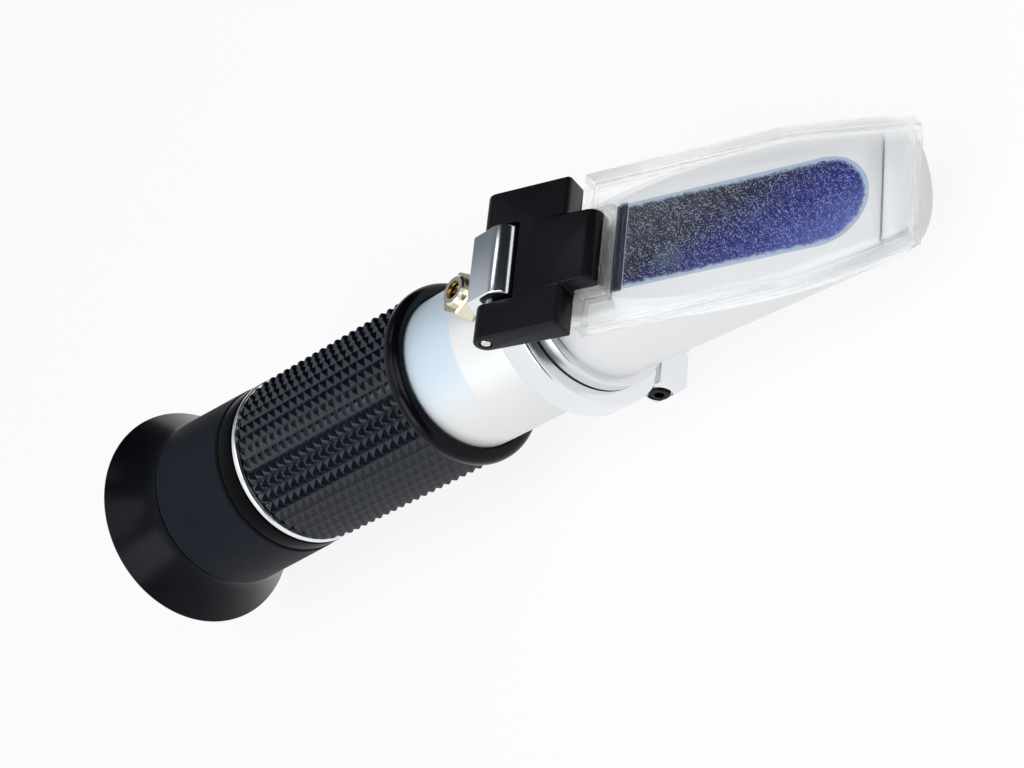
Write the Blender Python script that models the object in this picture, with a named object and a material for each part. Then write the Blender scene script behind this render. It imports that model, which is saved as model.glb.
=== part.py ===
"""Handheld refractometer: a tube with a rubber grip, a sloping prism head under a hinged cover plate,
a screw-adjusted objective, and an eyepiece that is focused by turning its ring.
Everything is modelled about the optical axis, which runs along +X from the eyecup to the prism."""
import math

import bmesh
import bpy
from mathutils import Vector

mm = 0.001

# Clearances shared by all pieces
seat_gap = 0.3 * mm
cut_overrun = 1.0 * mm

# Numbers of facets round a turned piece
fine_steps = 40
medium_steps = 28
small_steps = 16
pin_steps = 12

# Barrel tube
barrel_radius = 12.7 * mm
barrel_wall = 1.5 * mm
barrel_rear = -45.4 * mm
barrel_edge = 0.3 * mm

# Rubber grip with its square pyramid studs
grip_wall = 0.7 * mm
stud_height = 0.9 * mm
stud_pitch = 2.04 * mm
stud_rows = 20
stud_columns = 42

# Smooth collar at the front of the grip; its front edge is the zero of the axis
collar_length = 2.5 * mm
collar_wall = 2.0 * mm
collar_round_share = 0.8
collar_arc_points = 5

# Bright ring behind the grip
ring_width = 1.8 * mm
ring_wall = 2.0 * mm
ring_edge = 0.25 * mm

# Eyepiece housing: the dark band and the tube under the focus ring
housing_band_wall = 1.6 * mm
housing_step = 1.2 * mm
housing_rear_room = 2.6 * mm
housing_spigot_wall = 1.6 * mm
housing_spigot_length = 8.0 * mm
housing_edge = 0.3 * mm

# Scale disc in the front end of the housing, with its retaining ring
reticle_seat_wall = 0.8 * mm
reticle_thickness = 1.3 * mm
reticle_ring_width = 1.2 * mm
reticle_ring_wall = 1.2 * mm

# Focus ring
focus_band = 3.4 * mm
focus_length = 18.1 * mm
focus_front_wall = 1.05 * mm
focus_rear_wall = 1.4 * mm
focus_edge = 0.3 * mm
focus_web = 1.9 * mm
focus_spigot_step = 2.3 * mm
focus_spigot_length = 3.5 * mm

# Eyepiece cell, which slides in the housing and is carried by the focus ring
cell_wall = 1.2 * mm
cell_front_reach = 10.2 * mm
cell_rear_reach = 4.0 * mm
cell_flange_width = 1.4 * mm
cell_flange_room = 1.1 * mm
cell_lip = 0.8 * mm
snap_ring_width = 0.7 * mm
snap_ring_lap = 1.6 * mm

# Eyepiece lenses
eye_lens_edge = 1.4 * mm
eye_lens_bulge = 1.1 * mm
field_lens_edge = 1.6 * mm
field_lens_bulge = 1.5 * mm
spacer_wall = 0.8 * mm
lens_ring_width = 0.8 * mm
lens_ring_wall = 0.9 * mm
lens_arc_points = 4

# Rubber eyecup
eyecup_length = 9.7 * mm
eyecup_flare = 4.3 * mm
eyecup_neck_step = 0.2 * mm
eyecup_floor = 1.1 * mm
eyecup_hole_lap = 0.6 * mm
eyecup_rim_land = 0.9 * mm
eyecup_rim_round = 0.35 * mm
eyecup_wall = 1.7 * mm
eyecup_flare_power = 1.35
eyecup_flare_points = 6

# Calibration screw and its brass bush on top of the barrel
calibration_x = 16.8 * mm
bush_hex_flats = 6.4 * mm
bush_hex_height = 2.3 * mm
bush_head_radius = 2.45 * mm
bush_head_height = 1.3 * mm
bush_edge = 0.35 * mm
bush_bore = 1.9 * mm
calibration_radius = 1.6 * mm
calibration_top_drop = 0.9 * mm
calibration_slot_width = 0.5 * mm
calibration_slot_depth = 0.7 * mm

# Objective cell on its temperature strip, moved by the calibration screw
objective_x = 16.8 * mm
objective_cell_length = 6.0 * mm
objective_cell_drop = 0.6 * mm
objective_cell_wall = 1.1 * mm
objective_lens_edge = 1.6 * mm
objective_lens_bulge = 1.3 * mm
objective_ring_width = 0.9 * mm
tab_width = 5.0 * mm
tab_drop = 2.7 * mm
objective_shift = 0.5 * mm
strip_length = 21.0 * mm
strip_thickness = 0.6 * mm
anchor_length = 4.0 * mm

# Baffle in the middle of the tube
baffle_x = -12.0 * mm
baffle_width = 1.0 * mm
baffle_wall = 4.4 * mm

# Prism head: a clamping collar, a boss and a flaring body cut along a slope
clamp_rear = 23.9 * mm
clamp_front = 28.75 * mm
clamp_wall = 2.98 * mm
clamp_edge = 0.35 * mm
boss_wall = 0.56 * mm
boss_front = 31.3 * mm
spigot_length = 7.0 * mm
head_root_step = 1.36 * mm
head_flare = 1.9 * mm
head_nose_x = 85.1 * mm
nose_round = 0.9 * mm
nose_arc_points = 5
light_path_wall = 5.5 * mm
light_path_drop = 0.8 * mm

# Clamp ears under the collar, with the slit and the black screw
ear_half_width = 7.4 * mm
ear_proud = 0.6 * mm
ear_drop = 3.62 * mm
ear_corner = 1.5 * mm
ear_root_share = 0.8
ear_step = 0.2 * mm
slit_width = 0.8 * mm
clamp_screw_height = 2.6 * mm
clamp_screw_radius = 1.1 * mm
clamp_screw_head_radius = 1.8 * mm
clamp_screw_head = 1.4 * mm
clamp_screw_sink = 1.2 * mm
clamp_screw_socket = 0.9 * mm
clamp_screw_socket_depth = 0.8 * mm

# Hinge axis and the slope of the prism face; distances along the slope start at the hinge pin
pin_x = 25.5 * mm
pin_sink = 0.31 * mm
slope_angle = math.radians(20.7)
pin_radius = 0.9 * mm
pin_end_inset = 0.1 * mm

# Hinge lug of the collar, between the arms of the hinge block: a flat top and a round nose
lug_rise = 2.43 * mm
lug_flat_rear = 22.9 * mm
lug_reach = 4.4 * mm
lug_nose_radius = 2.5 * mm
lug_rear_foot = 20.4 * mm
lug_shoulder_rise = 0.6 * mm
lug_half_width = 5.85 * mm
lug_root_depth = 2.0 * mm
lug_edge = 0.4 * mm
lug_nose_points = 9

# Black hinge block
block_side_inset = 0.15 * mm
block_thickness = 3.75 * mm
notch_half_width = 6.6 * mm
notch_front = 4.7 * mm
tongue_half_width = 5.9 * mm
tongue_root = 8.0 * mm
block_plate_gap = 1.0 * mm
arm_round = 0.7 * mm
tongue_round = 2.0 * mm
block_edge = 0.35 * mm
block_arc_points = 6

# Clear cover plate: a shallow tray, open below
plate_rear = 14.4 * mm
plate_length = 51.7 * mm
plate_side_room = 0.6 * mm
plate_taper = 3.35 * mm
plate_taper_start = 31.0 * mm
plate_taper_power = 1.25
plate_taper_points = 6
plate_top_drop = 1.3 * mm
plate_thickness = 1.4 * mm
plate_rim_depth = 3.1 * mm
plate_wall = 1.15 * mm
plate_notch_half_width = 6.9 * mm
plate_notch_depth = 3.7 * mm

# Raised prism land of the head, its shoulder, and the prism
land_inset = 0.9 * mm
land_rear = 19.7 * mm
land_front = 60.7 * mm
land_root = 3.0 * mm
shoulder_gap = 0.4 * mm
block_relief = 0.4 * mm
prism_rear = 21.1 * mm
prism_front = 58.8 * mm
prism_half_width = 7.2 * mm
prism_floor = 8.0 * mm
prism_arc_points = 9
seal_width = 0.9 * mm
seal_depth = 1.6 * mm

# Values worked out from the sizes above
sleeve_bore = barrel_radius + seat_gap
grip_valley_radius = sleeve_bore + grip_wall
collar_radius = sleeve_bore + collar_wall
ring_radius = sleeve_bore + ring_wall
grip_front = -collar_length - seat_gap
grip_rear = grip_front - stud_rows * stud_pitch
ring_front = grip_rear - seat_gap
ring_rear = ring_front - ring_width
barrel_bore = barrel_radius - barrel_wall
bush_hex_top = sleeve_bore + bush_hex_height
bush_top = bush_hex_top + bush_head_height
tab_top = barrel_bore - tab_drop
objective_cell_radius = tab_top - objective_cell_drop
baffle_hole = barrel_bore - baffle_wall
barrel_front = clamp_front - seat_gap
clamp_radius = sleeve_bore + clamp_wall
foot_height = clamp_radius + ear_drop
ear_rear = clamp_rear + ear_step
ear_front = clamp_front + ear_proud
ear_middle = (ear_rear + ear_front) / 2
clamp_screw_drop = foot_height - clamp_screw_height
pin_z = clamp_radius - pin_sink
lug_top = pin_z + lug_rise
lug_shoulder = sleeve_bore + lug_shoulder_rise
lug_root = sleeve_bore - lug_root_depth
lug_nose_x = pin_x + lug_reach - lug_nose_radius
lug_nose_z = lug_top - lug_nose_radius
spigot_radius = barrel_bore - seat_gap
light_path_radius = spigot_radius - light_path_wall
boss_radius = sleeve_bore + boss_wall
head_root_radius = boss_radius - head_root_step
head_nose_radius = head_root_radius + head_flare
land_radius = head_root_radius - land_inset
boss_rear = clamp_front + seat_gap
spigot_rear = boss_rear - spigot_length
housing_front = ring_rear - seat_gap
housing_spigot_radius = barrel_bore - seat_gap
housing_bore = housing_spigot_radius - housing_spigot_wall
housing_radius = sleeve_bore + housing_band_wall
housing_neck_radius = housing_radius - housing_step
reticle_radius = housing_spigot_radius - reticle_seat_wall - seat_gap
focus_front = housing_front - focus_band
focus_rear = focus_front - focus_length
focus_bore = housing_neck_radius + seat_gap
focus_front_radius = focus_bore + focus_front_wall
focus_rear_radius = focus_bore + focus_rear_wall
focus_spigot_radius = focus_rear_radius - focus_spigot_step
focus_web_front = focus_rear + focus_web
cell_flange_rear = focus_web_front + seat_gap
cell_flange_front = cell_flange_rear + cell_flange_width
snap_ring_rear = cell_flange_front + seat_gap
housing_rear = snap_ring_rear + snap_ring_width + housing_rear_room
cell_flange_radius = focus_bore - cell_flange_room
snap_ring_bore = cell_flange_radius - snap_ring_lap
cell_radius = housing_bore - seat_gap
cell_front = cell_flange_front + cell_front_reach
cell_rear = cell_flange_rear - cell_rear_reach
cell_bore = cell_radius - cell_wall
lens_radius = cell_bore - seat_gap
eye_lens_rear = cell_rear + cell_lip + seat_gap
eyecup_front = focus_rear - seat_gap
eyecup_rim = eyecup_front - eyecup_length
eyecup_bore = focus_spigot_radius + seat_gap
eyecup_neck_radius = focus_rear_radius - eyecup_neck_step
eyecup_rim_radius = eyecup_neck_radius + eyecup_flare
eyecup_hole = cell_radius - eyecup_hole_lap
eyecup_floor_front = focus_rear - focus_spigot_length - seat_gap
eyecup_floor_rear = eyecup_floor_front - eyecup_floor
block_half_width = barrel_radius - block_side_inset
pin_half_length = block_half_width - pin_end_inset
block_top = block_thickness / 2
plate_top = block_top - plate_top_drop
plate_underside = plate_top - plate_thickness
plate_rim_bottom = plate_top - plate_rim_depth
plate_front = plate_rear + plate_length
plate_half_width = land_radius + plate_side_room + plate_wall
land_top = plate_underside - seat_gap
shoulder_height = plate_rim_bottom - shoulder_gap
relief_height = -block_top - block_relief
arm_front = plate_rear - block_plate_gap
tongue_front = plate_rear + plate_notch_depth - seat_gap
front_reach = pin_x + plate_front * math.cos(slope_angle) + plate_top * math.sin(slope_angle)
middle_x = (front_reach + eyecup_rim) / 2

palette = {
    "satin_aluminium": ((0.80, 0.81, 0.82, 1.0), 0.32, 1.0),
    "bright_chrome": ((0.86, 0.87, 0.89, 1.0), 0.08, 1.0),
    "head_casting": ((0.82, 0.83, 0.83, 1.0), 0.30, 1.0),
    "brass": ((0.80, 0.68, 0.38, 1.0), 0.22, 1.0),
    "steel": ((0.62, 0.62, 0.64, 1.0), 0.25, 1.0),
    "grip_rubber": ((0.018, 0.020, 0.024, 1.0), 0.50, 0.0),
    "eyecup_rubber": ((0.022, 0.022, 0.026, 1.0), 0.42, 0.0),
    "black_plastic": ((0.012, 0.012, 0.014, 1.0), 0.38, 0.0),
    "blued_plastic": ((0.022, 0.024, 0.034, 1.0), 0.45, 0.0),
    "black_oxide": ((0.01, 0.01, 0.01, 1.0), 0.40, 1.0),
    "inner_black": ((0.015, 0.015, 0.015, 1.0), 0.70, 0.0),
    "optical_glass": ((0.90, 0.94, 0.96, 1.0), 0.02, 0.0),
    "prism_glass": ((0.02, 0.03, 0.16, 1.0), 0.20, 0.0),
    "clear_acrylic": ((0.93, 0.95, 0.96, 1.0), 0.04, 0.0),
    "strip_metal": ((0.66, 0.60, 0.48, 1.0), 0.35, 1.0),
}


def clear_scene():
    for item in list(bpy.data.objects):
        bpy.data.objects.remove(item, do_unlink=True)


def make_material(name, finish):
    """A material with one plain shader, in the colour, roughness and metallic value of its finish."""
    color, roughness, metallic = palette[finish]
    material = bpy.data.materials.new(name)
    material.use_nodes = True
    shader = material.node_tree.nodes["Principled BSDF"]
    shader.inputs["Base Color"].default_value = color
    shader.inputs["Roughness"].default_value = roughness
    shader.inputs["Metallic"].default_value = metallic
    material.diffuse_color = color
    return material


def make_empty(name, parent=None, location=(0, 0, 0), tilt=0.0):
    empty = bpy.data.objects.new(name, None)
    bpy.context.scene.collection.objects.link(empty)
    empty.parent = parent
    empty.location = location
    empty.rotation_euler = (0, tilt, 0)
    return empty


def make_object(name, bm, parent, finish=None):
    """Turns a bmesh into an object; one without a finish is a cutter, drawn as wire and not rendered."""
    bmesh.ops.recalc_face_normals(bm, faces=bm.faces)
    mesh = bpy.data.meshes.new(name)
    bm.to_mesh(mesh)
    bm.free()
    mesh.shade_smooth()
    mesh.set_sharp_from_angle(angle=math.radians(35))
    item = bpy.data.objects.new(name, mesh)
    bpy.context.scene.collection.objects.link(item)
    item.parent = parent
    if finish:
        mesh.materials.append(make_material(name, finish))
    else:
        item.hide_render = True
        item.display_type = "WIRE"
    return item


def turned(profile, steps, closed=True):
    """Spins a profile of (x, radius) points about the X axis; an open one starts and ends on it."""
    bm = bmesh.new()
    verts = [bm.verts.new((x, 0, radius)) for x, radius in profile]
    edges = [bm.edges.new(pair) for pair in zip(verts, verts[1:])]
    if closed:
        edges.append(bm.edges.new((verts[-1], verts[0])))
    bmesh.ops.spin(bm, geom=verts + edges, cent=(0, 0, 0), axis=(1, 0, 0), angle=2 * math.pi, steps=steps,
                   use_merge=True)
    bmesh.ops.remove_doubles(bm, verts=bm.verts, dist=seat_gap / 100)
    return bm


def extruded(outline, start, depth):
    """Pushes a closed outline of 3D points from its start offset along a depth vector."""
    bm = bmesh.new()
    face = bm.faces.new([bm.verts.new(Vector(point) + Vector(start)) for point in outline])
    result = bmesh.ops.extrude_face_region(bm, geom=[face])
    moved = [v for v in result["geom"] if isinstance(v, bmesh.types.BMVert)]
    bmesh.ops.translate(bm, verts=moved, vec=depth)
    return bm


def side_extruded(outline, half_width):
    """A side outline of (x, z) points made as wide as twice the half width."""
    return extruded([(x, 0, z) for x, z in outline], (0, -half_width, 0), (0, 2 * half_width, 0))


def plan_extruded(outline, bottom, top):
    """A plan outline of (x, y) points made solid between two heights."""
    return extruded([(x, y, 0) for x, y in outline], (0, 0, bottom), (0, 0, top - bottom))


def block_between(low, high):
    """A box between two corners."""
    outline = [(low[0], low[1]), (high[0], low[1]), (high[0], high[1]), (low[0], high[1])]
    return plan_extruded(outline, low[2], high[2])


def rod(center, radius, start, end, axis, steps=pin_steps, first_angle=0.0):
    """A cylinder along the named axis, between two places on it; the center gives the other two values."""
    outline = []
    for i in range(steps):
        angle = 2 * math.pi * i / steps + first_angle
        a = center[0] + radius * math.cos(angle)
        b = center[1] + radius * math.sin(angle)
        point = {"x": (start, a, b), "y": (a, start, b), "z": (a, b, start)}[axis]
        outline.append(point)
    length = end - start
    vector = {"x": (length, 0, 0), "y": (0, length, 0), "z": (0, 0, length)}[axis]
    return extruded(outline, (0, 0, 0), vector)


def arc(center, radius, start_angle, end_angle, points):
    """Points on an arc in its own plane, angles in degrees."""
    steps = [start_angle + (end_angle - start_angle) * i / (points - 1) for i in range(points)]
    return [(center[0] + radius * math.cos(math.radians(a)), center[1] + radius * math.sin(math.radians(a)))
            for a in steps]


def combine(target, other, operation):
    modifier = target.modifiers.new(other.name, "BOOLEAN")
    modifier.operation = operation
    modifier.solver = "EXACT"
    modifier.object = other


def soften(target, width, segments=2):
    modifier = target.modifiers.new("soft_edges", "BEVEL")
    modifier.width = width
    modifier.segments = segments
    modifier.limit_method = "ANGLE"
    modifier.angle_limit = math.radians(40)


def tube_profile(start, end, bore, radius, edge=0.0):
    """Closed profile of a plain tube, with its two outer edges broken."""
    if not edge:
        return [(start, bore), (start, radius), (end, radius), (end, bore)]
    return [(start, bore), (start, radius - edge), (start + edge, radius), (end - edge, radius),
            (end, radius - edge), (end, bore)]


def lens_profile(rear, edge_width, radius, rear_bulge, front_bulge):
    """Open profile of a lens: two shallow domes on a short cylinder, each dome a parabola."""
    shares = [i / (lens_arc_points - 1) for i in range(lens_arc_points)]
    back = [(rear - rear_bulge * (1 - share ** 2), radius * share) for share in shares]
    front_edge = rear + edge_width
    front = [(front_edge + front_bulge * (1 - share ** 2), radius * share) for share in reversed(shares)]
    return back + front


def add_turned(name, profile, parent, finish, steps=medium_steps, closed=True):
    return make_object(name, turned(profile, steps, closed), parent, finish)


def add_barrel(frame):
    """Aluminium tube, with a hole in its top for the calibration screw."""
    profile = tube_profile(barrel_rear, barrel_front, barrel_bore, barrel_radius, barrel_edge)
    tube = add_turned("barrel_tube", profile, frame, "satin_aluminium", fine_steps)
    hole = rod((calibration_x, 0), calibration_radius + seat_gap, 0, barrel_radius + cut_overrun, "z")
    combine(tube, make_object("barrel_hole", hole, frame), "DIFFERENCE")

    baffle = tube_profile(baffle_x, baffle_x + baffle_width, baffle_hole, barrel_bore - seat_gap)
    add_turned("light_baffle", baffle, frame, "inner_black")


def add_grip(frame):
    """Rubber sleeve whose outside is a grid of square pyramids in straight rows and columns."""
    bm = bmesh.new()

    def ring(x, radius):
        angles = [2 * math.pi * i / stud_columns for i in range(stud_columns)]
        return [bm.verts.new((x, radius * math.sin(a), radius * math.cos(a))) for a in angles]

    valleys = [ring(grip_rear + i * stud_pitch, grip_valley_radius) for i in range(stud_rows + 1)]
    inner = [ring(grip_rear, sleeve_bore), ring(grip_front, sleeve_bore)]
    peak_radius = grip_valley_radius + stud_height
    for row in range(stud_rows):
        x = grip_rear + (row + 0.5) * stud_pitch
        for column in range(stud_columns):
            after = (column + 1) % stud_columns
            angle = 2 * math.pi * (column + 0.5) / stud_columns
            peak = bm.verts.new((x, peak_radius * math.sin(angle), peak_radius * math.cos(angle)))
            corners = [valleys[row][column], valleys[row][after], valleys[row + 1][after],
                       valleys[row + 1][column]]
            for first, second in zip(corners, corners[1:] + corners[:1]):
                bm.faces.new((first, second, peak))
    for column in range(stud_columns):
        after = (column + 1) % stud_columns
        loops = [valleys[0], inner[0], inner[1], valleys[-1]]
        for near, far in zip(loops, loops[1:]):
            bm.faces.new((near[column], near[after], far[after], far[column]))
    make_object("grip_sleeve", bm, frame, "grip_rubber")

    round_radius = (collar_radius - sleeve_bore) * collar_round_share
    bead = arc((-round_radius, collar_radius - round_radius), round_radius, 90, 0, collar_arc_points)
    profile = [(-collar_length, sleeve_bore), (-collar_length, collar_radius)] + bead + [(0, sleeve_bore)]
    add_turned("grip_collar", profile, frame, "eyecup_rubber", fine_steps)

    profile = tube_profile(ring_rear, ring_front, sleeve_bore, ring_radius, ring_edge)
    add_turned("chrome_ring", profile, frame, "bright_chrome", fine_steps)


def add_housing(frame):
    """Dark tube behind the bright ring, with the scale disc clamped in its front end."""
    spigot_front = housing_front + housing_spigot_length
    disc_bore = reticle_radius + seat_gap
    disc_rear = spigot_front - reticle_thickness - reticle_ring_width - 3 * seat_gap
    band_rear = focus_front + seat_gap
    profile = [
        (housing_rear, housing_bore), (housing_rear, housing_neck_radius - housing_edge),
        (housing_rear + housing_edge, housing_neck_radius), (band_rear, housing_neck_radius),
        (band_rear, housing_radius - housing_edge), (band_rear + housing_edge, housing_radius),
        (housing_front - housing_edge, housing_radius), (housing_front, housing_radius - housing_edge),
        (housing_front, housing_spigot_radius),
        (spigot_front, housing_spigot_radius), (spigot_front, disc_bore),
        (disc_rear, disc_bore), (disc_rear, housing_bore),
    ]
    add_turned("eyepiece_housing", profile, frame, "black_plastic", fine_steps)

    disc_start = disc_rear + seat_gap
    disc = [(disc_start, 0), (disc_start, reticle_radius), (disc_start + reticle_thickness, reticle_radius),
            (disc_start + reticle_thickness, 0)]
    add_turned("reticle_disc", disc, frame, "optical_glass", closed=False)

    ring_start = disc_start + reticle_thickness + seat_gap
    ring = tube_profile(ring_start, ring_start + reticle_ring_width, reticle_radius - reticle_ring_wall,
                        reticle_radius)
    add_turned("reticle_retaining_ring", ring, frame, "inner_black")


def add_eyepiece(slide):
    """Cell with its two lenses, the spacer between them and the ring that holds them in."""
    profile = [
        (cell_rear, lens_radius - cell_lip), (cell_rear, cell_radius), (cell_flange_rear, cell_radius),
        (cell_flange_rear, cell_flange_radius), (cell_flange_front, cell_flange_radius),
        (cell_flange_front, cell_radius), (cell_front, cell_radius), (cell_front, cell_bore),
        (cell_rear + cell_lip, cell_bore), (cell_rear + cell_lip, lens_radius - cell_lip),
    ]
    add_turned("eyepiece_cell", profile, slide, "inner_black")

    eye_lens_front = eye_lens_rear + eye_lens_edge
    eye_lens = lens_profile(eye_lens_rear, eye_lens_edge, lens_radius, cell_lip, eye_lens_bulge)
    add_turned("eye_lens", eye_lens, slide, "optical_glass", closed=False)

    ring_front_face = cell_front - seat_gap
    ring_rear_face = ring_front_face - lens_ring_width
    ring = tube_profile(ring_rear_face, ring_front_face, lens_radius - lens_ring_wall, lens_radius)
    add_turned("lens_retaining_ring", ring, slide, "inner_black")

    field_lens_front = ring_rear_face - seat_gap
    field_lens_rear = field_lens_front - field_lens_edge
    field_lens = lens_profile(field_lens_rear, field_lens_edge, lens_radius, field_lens_bulge, 0)
    add_turned("field_lens", field_lens, slide, "optical_glass", closed=False)

    spacer = tube_profile(eye_lens_front + seat_gap, field_lens_rear - seat_gap, lens_radius - spacer_wall,
                          lens_radius)
    add_turned("lens_spacer", spacer, slide, "inner_black")


def add_focus_ring(pivot):
    """Turning ring with its thin front skirt, and the snap ring that holds the cell in it."""
    spigot_rear = focus_rear - focus_spigot_length
    web_bore = cell_radius + seat_gap
    profile = [
        (focus_front, focus_bore), (focus_front, focus_front_radius - focus_edge),
        (focus_front - focus_edge, focus_front_radius), (focus_rear + focus_edge, focus_rear_radius),
        (focus_rear, focus_rear_radius - focus_edge), (focus_rear, focus_spigot_radius),
        (spigot_rear, focus_spigot_radius), (spigot_rear, web_bore),
        (focus_web_front, web_bore), (focus_web_front, focus_bore),
    ]
    add_turned("focus_ring", profile, pivot, "blued_plastic", fine_steps)

    snap = tube_profile(snap_ring_rear, snap_ring_rear + snap_ring_width, snap_ring_bore,
                        focus_bore - seat_gap)
    add_turned("cell_snap_ring", snap, pivot, "steel")


def add_eyecup(pivot):
    """Flaring rubber cup, thick at its neck, with a floor round the eye lens."""
    shares = [i / (eyecup_flare_points - 1) for i in range(eyecup_flare_points)]
    flare_length = eyecup_length - eyecup_rim_round
    flare_rise = eyecup_rim_radius - eyecup_neck_radius
    outer = [(eyecup_front - flare_length * share,
              eyecup_neck_radius + flare_rise * share ** eyecup_flare_power) for share in shares]
    bowl_top = eyecup_rim_radius - eyecup_rim_round - eyecup_rim_land
    bowl_floor_radius = eyecup_neck_radius - eyecup_wall
    bowl_depth = eyecup_floor_rear - eyecup_rim
    bowl = [(eyecup_rim + bowl_depth * share,
             bowl_top - (bowl_top - bowl_floor_radius) * share ** eyecup_flare_power) for share in shares]
    profile = (
        [(eyecup_floor_front, eyecup_bore), (eyecup_front, eyecup_bore)] + outer
        + [(eyecup_rim, eyecup_rim_radius - eyecup_rim_round)] + bowl
        + [(eyecup_floor_rear, eyecup_hole), (eyecup_floor_front, eyecup_hole)]
    )
    add_turned("eyecup", profile, pivot, "eyecup_rubber", fine_steps)


def add_objective(frame, carrier):
    """Objective lens in a cell that hangs on the temperature strip and follows the calibration screw."""
    cell_start = objective_x - objective_cell_length / 2
    cell_end = cell_start + objective_cell_length
    seat_bore = objective_cell_radius - objective_cell_wall
    lip_bore = seat_bore - objective_cell_wall
    profile = [
        (cell_start, lip_bore), (cell_start, objective_cell_radius), (cell_end, objective_cell_radius),
        (cell_end, seat_bore), (cell_start + objective_cell_wall, seat_bore),
        (cell_start + objective_cell_wall, lip_bore),
    ]
    cell = add_turned("objective_cell", profile, carrier, "inner_black")
    tab = block_between((cell_start + seat_gap, -tab_width / 2, seat_bore + seat_gap),
                        (cell_end - seat_gap, tab_width / 2, tab_top))
    combine(cell, make_object("objective_tab", tab, carrier), "UNION")

    radius = seat_bore - seat_gap
    lens_rear = cell_start + objective_cell_wall + seat_gap
    lens = lens_profile(lens_rear, objective_lens_edge, radius, objective_cell_wall, objective_lens_bulge)
    add_turned("objective_lens", lens, carrier, "optical_glass", closed=False)

    ring_start = lens_rear + objective_lens_edge + seat_gap
    ring = tube_profile(ring_start, ring_start + objective_ring_width, lip_bore, radius)
    add_turned("objective_retaining_ring", ring, carrier, "inner_black")

    strip_bottom = tab_top + objective_shift
    strip_front = calibration_x - calibration_radius - seat_gap
    strip_rear = strip_front - strip_length
    strip = block_between((strip_rear, -tab_width / 2, strip_bottom),
                          (strip_front, tab_width / 2, strip_bottom + strip_thickness))
    make_object("temperature_strip", strip, frame, "strip_metal")

    anchor_bottom = strip_bottom + strip_thickness + seat_gap
    anchor = block_between((strip_rear, -tab_width / 2, anchor_bottom),
                           (strip_rear + anchor_length, tab_width / 2, barrel_bore + cut_overrun))
    anchor_block = make_object("strip_anchor", anchor, frame, "inner_black")
    vault = rod((0, 0), barrel_bore - seat_gap, strip_rear - cut_overrun,
                strip_rear + anchor_length + cut_overrun, "x", medium_steps)
    combine(anchor_block, make_object("anchor_vault", vault, frame), "INTERSECT")


def add_calibration(frame, screw_pivot):
    """Brass bush seated on the barrel, with the slotted screw down inside it."""
    corner_radius = bush_hex_flats / 2 / math.cos(math.pi / 6)
    hexagon = rod((calibration_x, 0), corner_radius, 0, bush_hex_top, "z", 6, math.pi / 2)
    bush = make_object("calibration_bush", hexagon, frame, "brass")
    head_outline = rod((calibration_x, 0), bush_head_radius, bush_hex_top - bush_edge, bush_top, "z",
                       small_steps)
    combine(bush, make_object("bush_head", head_outline, frame), "UNION")
    saddle = rod((0, 0), sleeve_bore, calibration_x - bush_hex_flats,
                 calibration_x + bush_hex_flats, "x", fine_steps)
    combine(bush, make_object("bush_saddle", saddle, frame), "DIFFERENCE")
    bore = rod((calibration_x, 0), bush_bore, 0, bush_top + cut_overrun, "z", small_steps)
    combine(bush, make_object("bush_bore", bore, frame), "DIFFERENCE")

    screw_top = bush_top - calibration_top_drop
    screw = rod((0, 0), calibration_radius, tab_top + objective_shift, screw_top, "z", small_steps)
    item = make_object("calibration_screw", screw, screw_pivot, "brass")
    slot = block_between(
        (-calibration_radius - cut_overrun, -calibration_slot_width / 2, screw_top - calibration_slot_depth),
        (calibration_radius + cut_overrun, calibration_slot_width / 2, screw_top + cut_overrun))
    combine(item, make_object("calibration_slot", slot, screw_pivot), "DIFFERENCE")


def slope_point(along, height):
    """Turns a place measured along and above the slope, from the hinge pin, into (x, z) on the axis frame."""
    x = pin_x + along * math.cos(slope_angle) + height * math.sin(slope_angle)
    z = pin_z - along * math.sin(slope_angle) + height * math.cos(slope_angle)
    return x, z


def prism_solid(name, frame, deck, finish, gap):
    """Wedge under the sloping face with a half-round front end and an upright rear, grown by a gap."""
    half = prism_half_width + gap
    round_center = prism_front - prism_half_width
    front = arc((round_center, 0), half, -90, 90, prism_arc_points)
    rear = prism_rear - prism_floor
    plan = [(rear, -half)] + front + [(rear, half)]
    top = land_top + (cut_overrun if gap else 0)
    body = make_object(name, plan_extruded(plan, shoulder_height - prism_floor - gap, top), deck, finish)
    rear_x = slope_point(prism_rear, land_top)[0] - gap
    wedge = block_between((rear_x, -barrel_radius, -prism_floor - gap),
                          (head_nose_x, barrel_radius, clamp_radius))
    combine(body, make_object(name + "_wedge", wedge, frame), "INTERSECT")
    return body


def add_prism(frame, deck):
    """Glass prism let into the land, and the soft seal that closes its rear end."""
    prism_solid("prism", frame, deck, "prism_glass", 0.0)
    seal_rear = prism_rear - seat_gap - seal_width
    seal = block_between((seal_rear, -prism_half_width, land_top - seal_depth),
                         (prism_rear - seat_gap, prism_half_width, land_top))
    make_object("prism_seal", seal, deck, "inner_black")


def slope_outline(rear_height, front_height, step_x):
    """Side outline of the room above the slope: one height behind a step, another in front of it."""
    def along(height):
        return (step_x - slope_point(0, height)[0]) / math.cos(slope_angle)

    high = clamp_radius + foot_height
    return [slope_point(-clamp_radius, rear_height), slope_point(along(rear_height), rear_height),
            slope_point(along(front_height), front_height), slope_point(plate_front, front_height),
            slope_point(plate_front, high), (clamp_rear, high), (0, high)]


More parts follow.
